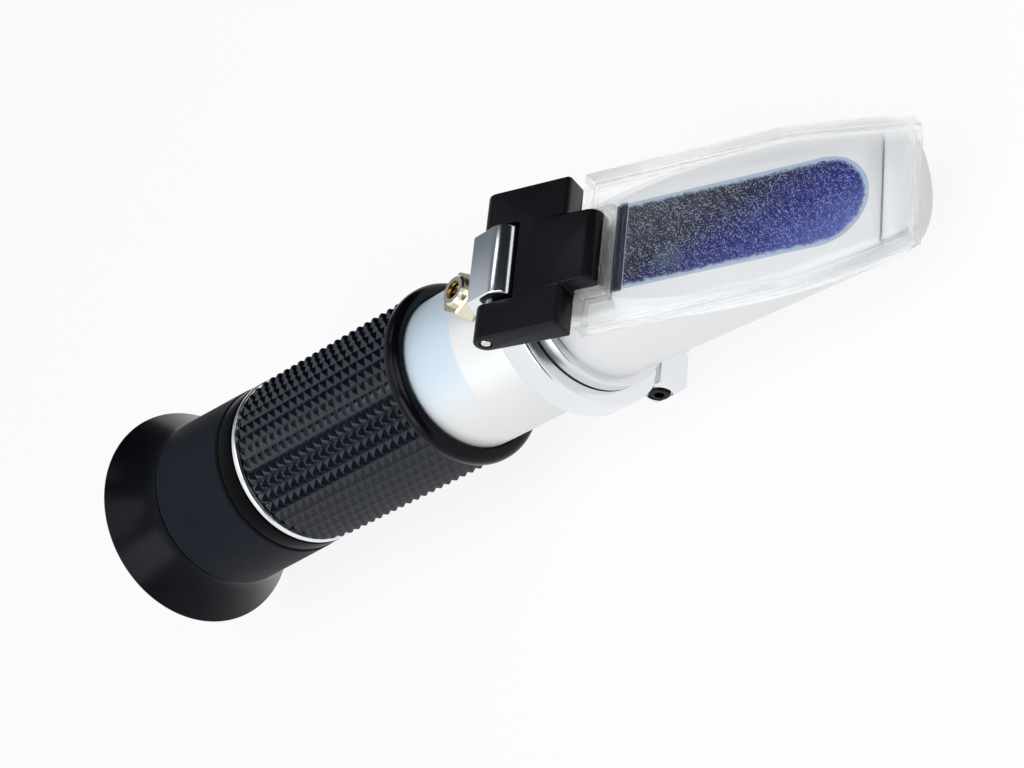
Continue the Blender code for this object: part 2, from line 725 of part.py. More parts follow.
def add_head(frame, deck):
    """Cast head: spigot in the barrel, boss, and the flaring body with its cut slope and raised land."""
    nose = arc((head_nose_x - nose_round, head_nose_radius - nose_round), nose_round, 90, 0, nose_arc_points)
    profile = [
        (spigot_rear, 0), (spigot_rear, spigot_radius), (boss_rear, spigot_radius), (boss_rear, boss_radius),
        (boss_front, boss_radius), (boss_front, head_root_radius),
    ] + nose + [(head_nose_x, 0)]
    head = add_turned("prism_head", profile, frame, "head_casting", fine_steps, closed=False)

    wide = clamp_radius + cut_overrun
    room = side_extruded(slope_outline(relief_height, shoulder_height, boss_front), wide)
    combine(head, make_object("slope_cut", room, frame), "DIFFERENCE")

    land = make_object("prism_land", block_between((land_rear, -wide, shoulder_height - land_root),
                                                   (land_front, wide, land_top)), deck)
    land_core = rod((0, 0), land_radius, boss_front, head_nose_x, "x", fine_steps)
    combine(land, make_object("land_core", land_core, frame), "INTERSECT")
    combine(head, land, "UNION")

    combine(head, prism_solid("prism_pocket", frame, deck, None, seat_gap), "DIFFERENCE")
    seal_room = block_between(
        (land_rear - cut_overrun, -prism_half_width - seat_gap, land_top - seal_depth - seat_gap),
        (prism_rear, prism_half_width + seat_gap, land_top + cut_overrun))
    combine(head, make_object("seal_room", seal_room, deck), "DIFFERENCE")

    path_end = slope_point(prism_rear, 0)[0] + cut_overrun
    path = rod((0, -light_path_drop), light_path_radius, spigot_rear - cut_overrun, path_end, "x",
               small_steps)
    combine(head, make_object("light_path", path, frame), "DIFFERENCE")


def ear_solid(root, front):
    """Both clamp ears as one block with cut lower corners, down from a given root to the foot."""
    outline = [(-ear_half_width, -root), (-ear_half_width, -foot_height + ear_corner),
               (-ear_half_width + ear_corner, -foot_height), (ear_half_width - ear_corner, -foot_height),
               (ear_half_width, -foot_height + ear_corner), (ear_half_width, -root)]
    return extruded([(0, y, z) for y, z in outline], (ear_rear, 0, 0), (front - ear_rear, 0, 0))


def add_collar(frame):
    """Chrome casting clamped on the barrel: a ring with the hinge lug on top and two split ears below."""
    disc = tube_profile(clamp_rear, clamp_front, 0, clamp_radius, clamp_edge)
    collar = add_turned("hinge_collar", disc, frame, "bright_chrome", fine_steps, closed=False)
    wide = clamp_radius + cut_overrun
    room = side_extruded(slope_outline(relief_height, relief_height, clamp_front), wide)
    combine(collar, make_object("collar_relief", room, frame), "DIFFERENCE")

    foot_angle = -math.degrees(math.acos((clamp_front - lug_nose_x) / lug_nose_radius))
    nose = arc((lug_nose_x, lug_nose_z), lug_nose_radius, 90, foot_angle, lug_nose_points)
    outline = [(lug_rear_foot, lug_root), (lug_rear_foot, lug_shoulder), (lug_flat_rear, lug_top)]
    outline += nose + [(clamp_front - clamp_edge, lug_root)]
    lug = make_object("hinge_lug", side_extruded(outline, lug_half_width), frame)
    soften(lug, lug_edge)
    combine(collar, lug, "UNION")

    ears = ear_solid(barrel_radius * ear_root_share, clamp_front - ear_step)
    combine(collar, make_object("clamp_ears", ears, frame), "UNION")
    pad = ear_solid(boss_radius + 2 * seat_gap, ear_front)
    combine(collar, make_object("clamp_ear_pad", pad, frame), "UNION")
    bore = rod((0, 0), sleeve_bore, lug_rear_foot - cut_overrun, clamp_front + cut_overrun, "x", fine_steps)
    combine(collar, make_object("collar_bore", bore, frame), "DIFFERENCE")

    slit = block_between((0, -slit_width / 2, -foot_height - cut_overrun),
                         (clamp_front + cut_overrun, slit_width / 2, 0))
    combine(collar, make_object("clamp_slit", slit, frame), "DIFFERENCE")
    screw_axis = (ear_middle, -clamp_screw_drop)
    screw_hole = rod(screw_axis, clamp_screw_radius + seat_gap, -wide, wide, "y")
    combine(collar, make_object("clamp_hole", screw_hole, frame), "DIFFERENCE")
    head_room = rod(screw_axis, clamp_screw_head_radius + seat_gap, -wide,
                    clamp_screw_sink + seat_gap - ear_half_width, "y", small_steps)
    combine(collar, make_object("clamp_head_room", head_room, frame), "DIFFERENCE")
    pin_hole = rod((pin_x, pin_z), pin_radius + seat_gap, -wide, wide, "y")
    combine(collar, make_object("pin_hole", pin_hole, frame), "DIFFERENCE")


def add_clamp_screw(frame):
    """Black socket-head screw through both ears, its head let into the ear on the -Y side."""
    center = (ear_middle, -clamp_screw_drop)
    head_inner = clamp_screw_sink - ear_half_width
    head_outer = head_inner - clamp_screw_head
    shank = rod(center, clamp_screw_radius, head_inner - seat_gap, ear_half_width, "y")
    screw = make_object("clamp_screw", shank, frame, "black_oxide")
    head = rod(center, clamp_screw_head_radius, head_outer, head_inner, "y", small_steps)
    combine(screw, make_object("clamp_screw_head", head, frame), "UNION")
    socket = rod(center, clamp_screw_socket, head_outer - cut_overrun,
                 head_outer + clamp_screw_socket_depth, "y", 6)
    combine(screw, make_object("clamp_screw_socket", socket, frame), "DIFFERENCE")


def add_pin(frame):
    """Steel hinge pin, held in the lug; the hinge block turns on its two ends."""
    pin = rod((pin_x, pin_z), pin_radius, -pin_half_length, pin_half_length, "y")
    make_object("hinge_pin", pin, frame, "steel")


def add_hinge_block(cover):
    """Black block: two arms with rounded ends on the pin, a bridge, and a tongue into the cover plate."""
    def slab(front, edge_round, rear_points):
        edge = arc((front - edge_round, block_top - edge_round), edge_round, 90, 0, block_arc_points)
        return rear_points + edge + [(front, -block_top)]

    rear_end = arc((0, 0), block_top, 270, 90, 2 * block_arc_points)
    body = slab(arm_front, arm_round, rear_end)
    block = make_object("hinge_block", side_extruded(body, block_half_width), cover, "black_plastic")
    tongue = slab(tongue_front, tongue_round, [(tongue_root, -block_top), (tongue_root, block_top)])
    combine(block, make_object("block_tongue", side_extruded(tongue, tongue_half_width), cover), "UNION")
    notch = block_between((-block_thickness, -notch_half_width, -block_thickness),
                          (notch_front, notch_half_width, block_thickness))
    combine(block, make_object("block_notch", notch, cover), "DIFFERENCE")
    soften(block, block_edge)
    bore = rod((0, 0), pin_radius + seat_gap, -block_half_width - cut_overrun,
               block_half_width + cut_overrun, "y")
    combine(block, make_object("block_bore", bore, cover), "DIFFERENCE")


def plate_outline():
    """Plan of the cover plate: two rear tabs, parallel sides, and a curved taper to a square tip."""
    side = [(plate_rear, plate_notch_half_width), (plate_rear, plate_half_width)]
    taper_length = plate_length - plate_taper_start
    for i in range(plate_taper_points):
        share = i / (plate_taper_points - 1)
        along = plate_rear + plate_taper_start + taper_length * share
        side.append((along, plate_half_width - plate_taper * share ** plate_taper_power))
    notch = (plate_rear + plate_notch_depth, plate_notch_half_width)
    far = [notch] + side
    near = [(along, -across) for along, across in reversed(far)]
    return far + near


def add_cover_plate(cover):
    """Clear tray: the outline pushed down to its rim depth, then hollowed from below."""
    bm = plan_extruded(plate_outline(), plate_rim_bottom, plate_top)
    bm.faces.ensure_lookup_table()
    bmesh.ops.recalc_face_normals(bm, faces=bm.faces)
    underside = min(bm.faces, key=lambda face: face.calc_center_median().z)
    bmesh.ops.inset_region(bm, faces=[underside], thickness=plate_wall)
    result = bmesh.ops.extrude_face_region(bm, geom=[underside])
    moved = [v for v in result["geom"] if isinstance(v, bmesh.types.BMVert)]
    bmesh.ops.translate(bm, verts=moved, vec=(0, 0, plate_underside - plate_rim_bottom))
    bmesh.ops.delete(bm, geom=[underside], context="FACES_ONLY")
    make_object("cover_plate", bm, cover, "clear_acrylic")


def main():
    clear_scene()
    frame = make_empty("optical_axis", location=(-middle_x, 0, foot_height))
    deck = make_empty("slope_frame", frame, (pin_x, 0, pin_z), slope_angle)
    cover = make_empty("cover_pivot", frame, (pin_x, 0, pin_z), slope_angle)
    slide = make_empty("eyepiece_slide", frame)
    focus_pivot = make_empty("focus_pivot", slide)
    carrier = make_empty("objective_carrier", frame)
    screw_pivot = make_empty("calibration_pivot", frame, (calibration_x, 0, 0))

    add_barrel(frame)
    add_grip(frame)
    add_housing(frame)
    add_eyepiece(slide)
    add_focus_ring(focus_pivot)
    add_eyecup(focus_pivot)
    add_objective(frame, carrier)
    add_calibration(frame, screw_pivot)
    add_head(frame, deck)
    add_prism(frame, deck)
    add_collar(frame)
    add_clamp_screw(frame)
    add_pin(frame)
    add_hinge_block(cover)
    add_cover_plate(cover)


main()
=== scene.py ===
import math

import bmesh
import bpy
from mathutils import Matrix, Vector


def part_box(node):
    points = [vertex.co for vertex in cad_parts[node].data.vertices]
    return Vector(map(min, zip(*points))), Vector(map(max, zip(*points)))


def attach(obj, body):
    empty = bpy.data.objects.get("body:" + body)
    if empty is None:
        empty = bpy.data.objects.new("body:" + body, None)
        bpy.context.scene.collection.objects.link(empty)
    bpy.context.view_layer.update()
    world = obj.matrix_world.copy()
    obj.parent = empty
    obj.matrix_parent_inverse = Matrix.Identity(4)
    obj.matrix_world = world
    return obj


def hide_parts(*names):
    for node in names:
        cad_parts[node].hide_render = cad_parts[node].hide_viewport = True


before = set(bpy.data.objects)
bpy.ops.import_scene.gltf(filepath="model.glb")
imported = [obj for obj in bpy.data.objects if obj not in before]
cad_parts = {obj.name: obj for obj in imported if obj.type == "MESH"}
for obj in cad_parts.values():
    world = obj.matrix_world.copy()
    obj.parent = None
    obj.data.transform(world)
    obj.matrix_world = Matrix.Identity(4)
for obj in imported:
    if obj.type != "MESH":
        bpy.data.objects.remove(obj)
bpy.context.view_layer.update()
mm = 0.001

# every outline below is drawn about the optical axis, from the front edge of the grip collar
barrelLow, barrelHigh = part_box("barrel_tube")
axisStart = Vector((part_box("grip_collar")[1].x, 0, (barrelLow.z + barrelHigh.z) / 2))
axisPlace = Matrix.Translation(axisStart)
gap = 0.3 * mm
overrun = 1.0 * mm
fineTurn = 144
smallTurn = 48

hinge = {
    "pinX": 25.5 * mm,
    "pinZ": 15.67 * mm,
    "slope": math.radians(20.7),
}
# the cut-off slope is drawn about the hinge pin: x along it, z out of it
pinPlace = axisStart + Vector((hinge["pinX"], 0, hinge["pinZ"]))
pinShift = Matrix.Translation((hinge["pinX"], 0, hinge["pinZ"]))
slopePlace = axisPlace @ pinShift @ Matrix.Rotation(hinge["slope"], 4, "Y")


# shader maths: a wire is a socket that can be added, multiplied and so on
class Wire:
    def __init__(self, finish, socket):
        self.finish = finish
        self.socket = socket

    def calc(self, operation, first, second):
        return self.finish.calc(operation, first, second)

    def __add__(self, other):
        return self.calc("ADD", self, other)

    def __radd__(self, other):
        return self.calc("ADD", other, self)

    def __sub__(self, other):
        return self.calc("SUBTRACT", self, other)

    def __rsub__(self, other):
        return self.calc("SUBTRACT", other, self)

    def __mul__(self, other):
        return self.calc("MULTIPLY", self, other)

    def __rmul__(self, other):
        return self.calc("MULTIPLY", other, self)

    def greater(self, other):
        return self.calc("MAXIMUM", self, other)

    def root(self):
        return self.calc("SQRT", self, 0)


# a node tree, and the one method that adds a node to it
class Tree:
    def __init__(self, owner):
        owner.use_nodes = True
        self.tree = owner.node_tree

    def node(self, kind, settings, inputs, output=0):
        made = self.tree.nodes.new(kind)
        for label, value in settings.items():
            if label == "stops":
                ramp = made.color_ramp
                while len(ramp.elements) < len(value):
                    ramp.elements.new(0.5)
                for element, (place, color) in zip(ramp.elements, value):
                    element.position = place
                    element.color = (*color, 1.0)
            else:
                setattr(made, label, value)
        for label, value in inputs.items():
            self.join(made.inputs[label], value)
        return Wire(self, made.outputs[output])

    def join(self, target, value):
        if isinstance(value, Wire):
            self.tree.links.new(value.socket, target)
        else:
            target.default_value = value

    def calc(self, operation, first, second):
        return self.node("ShaderNodeMath", {"operation": operation}, {0: first, 1: second})


# one finish: a material with its main shader
class Finish(Tree):
    def __init__(self, name, color, roughness, metallic=0.0, **plain):
        self.material = bpy.data.materials.new(name)
        super().__init__(self.material)
        self.shader = self.tree.nodes["Principled BSDF"]
        values = {"Base Color": (*color, 1.0), "Roughness": roughness, "Metallic": metallic}
        values.update({label.replace("_", " "): value for label, value in plain.items()})
        for label, value in values.items():
            self.feed(label, value)
        self.material.diffuse_color = (*color, 1.0)

    def feed(self, label, value):
        self.join(self.shader.inputs[label], value)

    def place(self):
        return self.node("ShaderNodeNewGeometry", {}, {}, "Position")

    def part(self, output):
        return self.node("ShaderNodeSeparateXYZ", {}, {0: self.place()}, output)

    def noise(self, scale, detail=2.0, stretch=None):
        where = self.place()
        if stretch:
            where = self.node("ShaderNodeVectorMath", {"operation": "MULTIPLY"}, {0: where, 1: stretch})
        return self.node("ShaderNodeTexNoise", {}, {"Vector": where, "Scale": scale, "Detail": detail}, "Fac")

    def between(self, value, low, high, lowTo=0.0, highTo=1.0, shape="SMOOTHSTEP"):
        settings = {"interpolation_type": shape}
        values = {"Value": value, "From Min": low, "From Max": high, "To Min": lowTo, "To Max": highTo}
        return self.node("ShaderNodeMapRange", settings, values, "Result")

    def mixColor(self, factor, first, second):
        first = (*first, 1.0) if isinstance(first, tuple) else first
        second = (*second, 1.0) if isinstance(second, tuple) else second
        return self.node("ShaderNodeMix", {"data_type": "RGBA"}, {0: factor, 6: first, 7: second}, 2)

    def alongSlope(self):
        turn = hinge["slope"]
        ahead = self.part("X") - pinPlace.x
        return ahead * math.cos(turn) - (self.part("Z") - pinPlace.z) * math.sin(turn)

    def bump(self, height, strength, distance):
        values = {"Height": height, "Strength": strength, "Distance": distance}
        self.feed("Normal", self.node("ShaderNodeBump", {}, values))


# mesh making
def meshObject(name, bm, place=axisPlace, angle=30):
    bmesh.ops.recalc_face_normals(bm, faces=bm.faces)
    mesh = bpy.data.meshes.new(name)
    bm.to_mesh(mesh)
    bm.free()
    mesh.transform(place)
    item = bpy.data.objects.new(name, mesh)
    bpy.context.scene.collection.objects.link(item)
    smooth(item, angle)
    return item


def smooth(item, angle=30):
    item.data.shade_smooth()
    item.data.set_sharp_from_angle(angle=math.radians(angle))


def arc(centerA, centerB, radius, start, end, count=7):
    turns = [math.radians(start + (end - start) * i / (count - 1)) for i in range(count)]
    return [(centerA + radius * math.cos(t), centerB + radius * math.sin(t)) for t in turns]


def turned(profile, steps=fineTurn, closed=True, wave=None):
    bm = bmesh.new()
    rings = []
    for i in range(steps):
        angle = 2 * math.pi * i / steps
        ring = []
        for x, radius in profile:
            grown = radius + (wave(x, radius, i) if wave else 0)
            ring.append((x, grown * math.sin(angle), grown * math.cos(angle)))
        rings.append(ring)
    poles = {j: bm.verts.new((x, 0, 0)) for j, (x, radius) in enumerate(profile) if radius == 0}
    rows = [[poles.get(j) or bm.verts.new(point) for j, point in enumerate(ring)] for ring in rings]
    last = len(profile) if closed else len(profile) - 1
    for i in range(steps):
        near = rows[i]
        far = rows[(i + 1) % steps]
        for j in range(last):
            k = (j + 1) % len(profile)
            corners = []
            for vert in (near[j], near[k], far[k], far[j]):
                if vert not in corners:
                    corners.append(vert)
            if len(corners) > 2:
                bm.faces.new(corners)
    return bm


def pushed(outline, vector):
    bm = bmesh.new()
    face = bm.faces.new([bm.verts.new(point) for point in outline])
    grown = bmesh.ops.extrude_face_region(bm, geom=[face])
    verts = [v for v in grown["geom"] if isinstance(v, bmesh.types.BMVert)]
    bmesh.ops.translate(bm, verts=verts, vec=vector)
    return bm


def sideSolid(outline, half):
    return pushed([(x, -half, z) for x, z in outline], (0, 2 * half, 0))


def planSolid(outline, bottom, top):
    return pushed([(x, y, bottom) for x, y in outline], (0, 0, top - bottom))


def boxSolid(low, high):
    corners = [(low[0], low[1]), (high[0], low[1]), (high[0], high[1]), (low[0], high[1])]
    return planSolid(corners, low[2], high[2])


# a bar along one axis; a and b are its place on the other two, in order
def roundBar(a, b, radius, start, end, axis, steps=smallTurn, chamfer=0.0):
    sections = [(start, radius), (end, radius)]
    if chamfer:
        sections = [(start, radius - chamfer), (start + chamfer, radius),
                    (end - chamfer, radius), (end, radius - chamfer)]
    bm = turned([(start, 0)] + sections + [(end, 0)], steps, closed=False)
    turns = {"x": Matrix.Identity(4),
             "y": Matrix(((0, 0, 1, 0), (1, 0, 0, 0), (0, 1, 0, 0), (0, 0, 0, 1))),
             "z": Matrix(((0, 1, 0, 0), (0, 0, 1, 0), (1, 0, 0, 0), (0, 0, 0, 1)))}
    shift = {"x": (0, a, b), "y": (a, 0, b), "z": (a, b, 0)}[axis]
    bmesh.ops.transform(bm, matrix=Matrix.Translation(shift) @ turns[axis], verts=bm.verts)
    return bm


def settle(item, angle=30):
    bpy.context.view_layer.update()
    solid = bpy.data.meshes.new_from_object(item.evaluated_get(bpy.context.evaluated_depsgraph_get()))
    item.modifiers.clear()
    item.data = solid
    smooth(item, angle)


def carve(item, tool, operation="DIFFERENCE"):
    change = item.modifiers.new("carve", "BOOLEAN")
    change.operation = operation
    change.solver = "EXACT"
    change.object = tool
    settle(item)
    bpy.data.objects.remove(tool)


def soften(item, width, segments=3, limit=30):
    edges = item.modifiers.new("edges", "BEVEL")
    edges.width = width
    edges.segments = segments
    edges.limit_method = "ANGLE"
    edges.angle_limit = math.radians(limit)
    settle(item, 40)


def dress(item, finish):
    item.data.materials.clear()
    item.data.materials.append(finish.material)


def fit(item, body, node, finish):
    dress(item, finish)
    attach(item, body)
    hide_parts(node)


# finishes
def satinMetal(name, color, roughness, scale, metallic=1.0):
    finish = Finish(name, color, roughness, metallic)
    grain = finish.noise(scale, 3.0, (0.15, 1.0, 1.0))
    cloud = finish.noise(60.0, 2.0)
    finish.feed("Roughness", grain * 0.10 + cloud * 0.08 + (roughness - 0.09))
    finish.feed("Base Color", finish.mixColor(cloud, tuple(c * 0.97 for c in color), color))
    finish.bump(grain, 0.06, 0.02 * mm)
    return finish


# the pale blue tint beside the grip, on the upper side of the barrel
tint = {"end": 10.8 * mm, "fade": 0.5 * mm, "low": 3 * mm, "high": 12 * mm,
        "bare": (0.80, 0.81, 0.81), "blue": (0.58, 0.70, 0.80)}


def barrelMetal():
    finish = satinMetal("barrelAnodised", tint["bare"], 0.42, 5200.0)
    end = axisStart.x + tint["end"]
    band = finish.between(finish.part("X"), end, end + tint["fade"], 1.0, 0.0)
    rise = finish.between(finish.part("Z"), axisStart.z + tint["low"], axisStart.z + tint["high"])
    finish.feed("Metallic", 0.5 - band * rise * 0.35)
    finish.feed("Base Color", finish.mixColor(band * rise, tint["bare"], tint["blue"]))
    return finish


# the head is brighter metal on its boss, behind the edge
plating = {"edge": 31.35 * mm, "fade": 0.2 * mm}


def headCasting():
    finish = satinMetal("headPlated", (0.78, 0.79, 0.80), 0.34, 3800.0, 0.35)
    edge = axisStart.x + plating["edge"]
    boss = finish.between(finish.part("X"), edge, edge + plating["fade"], 1.0, 0.0)
    grain = finish.noise(3800.0, 3.0, (0.15, 1.0, 1.0))
    finish.feed("Metallic", boss * 0.65 + 0.35)
    finish.feed("Roughness", grain * 0.06 - boss * 0.08 + 0.31)
    return finish


def rubber(name, color, roughness, shine):
    finish = Finish(name, color, roughness, Specular_IOR_Level=shine, Specular_Tint=(0.84, 0.90, 1.0, 1.0))
    cloud = finish.noise(140.0, 3.0)
    grain = finish.noise(2600.0, 2.0)
    finish.feed("Roughness", cloud * 0.16 + (roughness - 0.08))
    darker, lighter = [tuple(c * share for c in color) for share in (0.8, 1.25)]
    finish.feed("Base Color", finish.mixColor(cloud, darker, lighter))
    finish.bump(grain, 0.15, 0.03 * mm)
    return finish


def chrome(name):
    finish = Finish(name, (0.83, 0.85, 0.89), 0.10, 1.0)
    smear = finish.noise(220.0, 3.0)
    finish.feed("Roughness", smear * 0.08 + 0.12)
    return finish


# the ground glass: grey to blue across a slanted share, one pale patch, specks (bumped and roughened like
# grain, lightened with painted glints), and a frayed rim
groundGlass = {"lean": 1.9, "spread": 13 * mm, "blotches": 260.0, "blotchSize": 0.16,
               "patchAlong": 7.1 * mm, "patchAcross": -3.6 * mm, "patchInner": 0.6 * mm,
               "patchOuter": 3.2 * mm, "patchShare": 0.35, "patchColor": (0.10, 0.15, 0.19),
               "specks": 3700.0, "groups": 900.0,
               "glint": 0.90, "greyGlintPaint": (0.42, 0.46, 0.62), "blueGlintPaint": (0.32, 0.38, 0.84),
               "frays": 1300.0, "fray": 1.1 * mm, "rimInner": 0.25 * mm, "rimOuter": 0.95 * mm,
               "rimColor": (0.42, 0.52, 0.66), "line": 0.25 * mm, "lineColor": (0.45, 0.52, 0.72)}
groundStops = [(0.0, (0.030, 0.034, 0.040)), (0.26, (0.013, 0.016, 0.026)), (0.36, (0.003, 0.005, 0.026)),
               (0.46, (0.003, 0.005, 0.080)), (0.66, (0.008, 0.013, 0.14)), (0.92, (0.08, 0.11, 0.34))]


def prismBlue():
    g = groundGlass
    finish = Finish("prismGround", (0.02, 0.03, 0.16), 0.45, Specular_IOR_Level=0.12)
    across = finish.part("Y")
    along = finish.alongSlope()
    low = prism["rear"] - g["spread"]
    high = prism["front"] + g["spread"]
    share = finish.between(along - across * g["lean"], low, high, shape="LINEAR")
    blotch = (finish.noise(g["blotches"], 2.0) - 0.5) * g["blotchSize"]
    body = finish.node("ShaderNodeValToRGB", {"stops": groundStops}, {0: share + blotch})
    aside = along - (prism["rear"] + g["patchAlong"])
    askew = across - g["patchAcross"]
    away = (aside * aside + askew * askew).root()
    pale = finish.between(away, g["patchInner"], g["patchOuter"], g["patchShare"], 0.0)
    body = finish.mixColor(pale, body, g["patchColor"])
    cells = {"Vector": finish.place(), "Scale": g["specks"]}
    apart = finish.node("ShaderNodeTexVoronoi", {}, cells, "Distance")
    tone = finish.node("ShaderNodeTexVoronoi", {}, cells, "Color")
    shade = finish.node("ShaderNodeSeparateColor", {}, {0: tone})
    speck = finish.between(apart, 0.26, 0.58, 1.0, 0.0) * finish.between(shade, 0.10, 0.95, 0.12, 1.0)
    glint = speck * finish.between(finish.noise(g["groups"], 2.0), 0.35, 0.65, 0.6, 1.0)
    # painted glints: the specks' lighter grey-to-blue colour stands for light catching the grain, put into
    # the base colour
    glintTone = finish.mixColor(finish.between(share, 0.35, 0.75), g["greyGlintPaint"], g["blueGlintPaint"])
    ground = finish.mixColor(glint * g["glint"], body, glintTone)
    past = (along - (prism["front"] - prism["half"])).greater(0.0)
    depth = prism["half"] - (past * past + across * across).root()
    fray = (finish.noise(g["frays"], 3.0) - 0.5) * g["fray"]
    rim = finish.between(depth + fray, g["rimInner"], g["rimOuter"], 1.0, 0.0)
    line = finish.between(along, prism["rear"], prism["rear"] + g["line"], 1.0, 0.0)
    rimmed = finish.mixColor(rim * 0.90, ground, g["rimColor"])
    finish.feed("Base Color", finish.mixColor(line * 0.8, rimmed, g["lineColor"]))
    finish.feed("Roughness", glint * 0.25 + 0.35)
    finish.bump(speck, 0.2, 0.03 * mm)
    return finish


def clearPlastic(name, color, bend, roughness, clouding=0.0):
    finish = Finish(name, color, roughness, IOR=bend, Transmission_Weight=1.0 - clouding)
    haze = finish.noise(180.0, 3.0)
    finish.feed("Roughness", haze * 0.04 + roughness)
    return finish


# the cover shows its walls and its root, and nearly nothing between them
coverShow = {"wall": 0.45, "face": 0.08, "wallFade": 0.5 * mm, "root": 0.3, "rootFade": 0.1 * mm,
             "waves": 90.0, "wave": 0.04}


def coverClear():
    c = coverShow
    p = plate
    finish = clearPlastic("coverPlastic", (0.98, 0.99, 0.99), 1.3, 0.02, 0.06)
    along = finish.alongSlope()
    across = finish.calc("ABSOLUTE", finish.part("Y"), 0)
    tip = p["rear"] + p["length"]
    corner = p["notchHalf"] + p["wall"]
    taper = finish.between(along, p["rear"] + p["taperStart"], tip, p["half"], p["tipHalf"], "LINEAR")
    notch = finish.between(across, corner, corner + c["rootFade"], p["rear"] + p["notchDepth"], p["rear"],
                           "LINEAR")
    ends = finish.calc("MINIMUM", taper - across, tip - along)
    wall = finish.between(ends, p["wall"], p["wall"] + c["wallFade"], c["wall"], c["face"])
    root = finish.between(along - notch, p["wall"] - c["rootFade"], p["wall"] + c["rootFade"], c["root"], 0.0)
    wave = (finish.noise(c["waves"], 2.0) - 0.5) * c["wave"]
    finish.feed("Alpha", wall.greater(root) + wave)
    return finish


print("finishes")
aluminium = barrelMetal()
casting = headCasting()
brightMetal = chrome("brightChrome")
brass = satinMetal("turnedBrass", (0.80, 0.76, 0.60), 0.18, 3000.0)
# painted shade: the calibration screw sits down in the bush bore, so it gets a darker copy of the brass that
# stands for the shade of that recess
recessShadedBrass = satinMetal("brassRecessShade", (0.30, 0.20, 0.07), 0.30, 3000.0)
steel = satinMetal("groundSteel", (0.72, 0.72, 0.74), 0.22, 4000.0)
oxide = satinMetal("blackOxide", (0.012, 0.012, 0.013), 0.38, 3000.0)
gripRubber = rubber("gripRubber", (0.0018, 0.0028, 0.0080), 0.15, 0.50)
cupRubber = rubber("cupRubber", (0.0022, 0.0026, 0.0042), 0.24, 0.10)
glossBlack = rubber("collarBlack", (0.0020, 0.0020, 0.0028), 0.20, 0.16)
bandPlastic = rubber("bandPlastic", (0.0020, 0.0020, 0.0024), 0.30, 0.03)
blockPlastic = rubber("blockPlastic", (0.0055, 0.006, 0.007), 0.30, 0.14)
ringPlastic = rubber("ringPlastic", (0.0104, 0.0120, 0.0180), 0.40, 0.03)
flatBlack = rubber("flatBlack", (0.006, 0.006, 0.006), 0.75, 0.10)
sealRubber = rubber("sealRubber", (0.010, 0.012, 0.030), 0.20, 0.60)
lensGlass = clearPlastic("lensGlass", (0.95, 0.97, 0.98), 1.49, 0.0)

print("barrel and grip")
barrel = {"radius": 12.7 * mm, "wall": 1.5 * mm, "rear": -45.4 * mm, "front": 28.45 * mm, "edge": 0.35 * mm,
          "screwX": 16.8 * mm, "screwHole": 1.9 * mm}


def makeBarrel():
    b = barrel
    bore = b["radius"] - b["wall"]
    outer = b["radius"]
    profile = [(b["rear"], bore)] + arc(b["rear"] + b["edge"], outer - b["edge"], b["edge"], 180, 90, 4)
    profile += arc(b["front"] - b["edge"], outer - b["edge"], b["edge"], 90, 0, 4) + [(b["front"], bore)]
    tube = meshObject("barrelTube", turned(profile))
    hole = roundBar(b["screwX"], 0, b["screwHole"], 0, 2 * outer, "z")
    carve(tube, meshObject("hole", hole))
    fit(tube, "instrument_body", "barrel_tube", aluminium)


# each loop of a stud: its share of the pitch, and of the height
grip = {"bore": 13.0 * mm, "valley": 13.7 * mm, "height": 0.9 * mm, "pitch": 2.04 * mm, "rows": 20,
        "columns": 42, "front": -2.8 * mm, "loops": ((1.0, 0.0), (0.94, 0.04), (0.10, 0.96), (0.0, 1.0)),
        "corners": ((-1, -1), (1, -1), (1, 1), (-1, 1))}


def makeGrip():
    g = grip
    bm = bmesh.new()
    rear = g["front"] - g["rows"] * g["pitch"]
    step = 2 * math.pi / g["columns"]

    def point(x, angle, radius):
        return bm.verts.new((x, radius * math.sin(angle), radius * math.cos(angle)))

    for row in range(g["rows"]):
        middle = rear + (row + 0.5) * g["pitch"]
        for column in range(g["columns"]):
            center = (column + 0.5) * step
            loops = []
            for share, rise in g["loops"]:
                half = g["pitch"] / 2 * share
                turn = step / 2 * share
                radius = g["valley"] + g["height"] * rise
                if share == 0.0:
                    loops.append([point(middle, center, radius)])
                    continue
                loops.append([point(middle + sx * half, center + sy * turn, radius)
                              for sx, sy in g["corners"]])
            for lower, upper in zip(loops, loops[1:]):
                for i in range(4):
                    j = (i + 1) % 4
                    over = upper if len(upper) == 1 else (upper[j], upper[i])
                    bm.faces.new((lower[i], lower[j], *over))
    for column in range(g["columns"]):
        a = column * step
        b = a + step
        inner = g["bore"]
        outer = g["valley"]
        for x, flip in ((rear, False), (g["front"], True)):
            face = [point(x, a, inner), point(x, b, inner), point(x, b, outer), point(x, a, outer)]
            bm.faces.new(reversed(face) if flip else face)
        bm.faces.new((point(rear, a, inner), point(rear, b, inner), point(g["front"], b, inner),
                      point(g["front"], a, inner)))
    bmesh.ops.remove_doubles(bm, verts=bm.verts, dist=0.01 * mm)
    sleeve = meshObject("gripSleeve", bm, angle=12)
    fit(sleeve, "instrument_body", "grip_sleeve", gripRubber)


bead = {"length": 2.5 * mm, "radius": 15.0 * mm, "nose": 1.7 * mm, "edge": 0.3 * mm}


def makeGripCollar():
    b = bead
    rear = -b["length"]
    profile = [(rear, grip["bore"])] + arc(rear + b["edge"], b["radius"] - b["edge"], b["edge"], 180, 90, 4)
    profile += arc(-b["nose"], b["radius"] - b["nose"], b["nose"], 90, 0, 12) + [(0, grip["bore"])]
    band = meshObject("gripCollar", turned(profile))
    fit(band, "instrument_body", "grip_collar", glossBlack)


rearRing = {"front": -43.9 * mm, "width": 1.1 * mm, "radius": 14.6 * mm, "edge": 0.3 * mm}


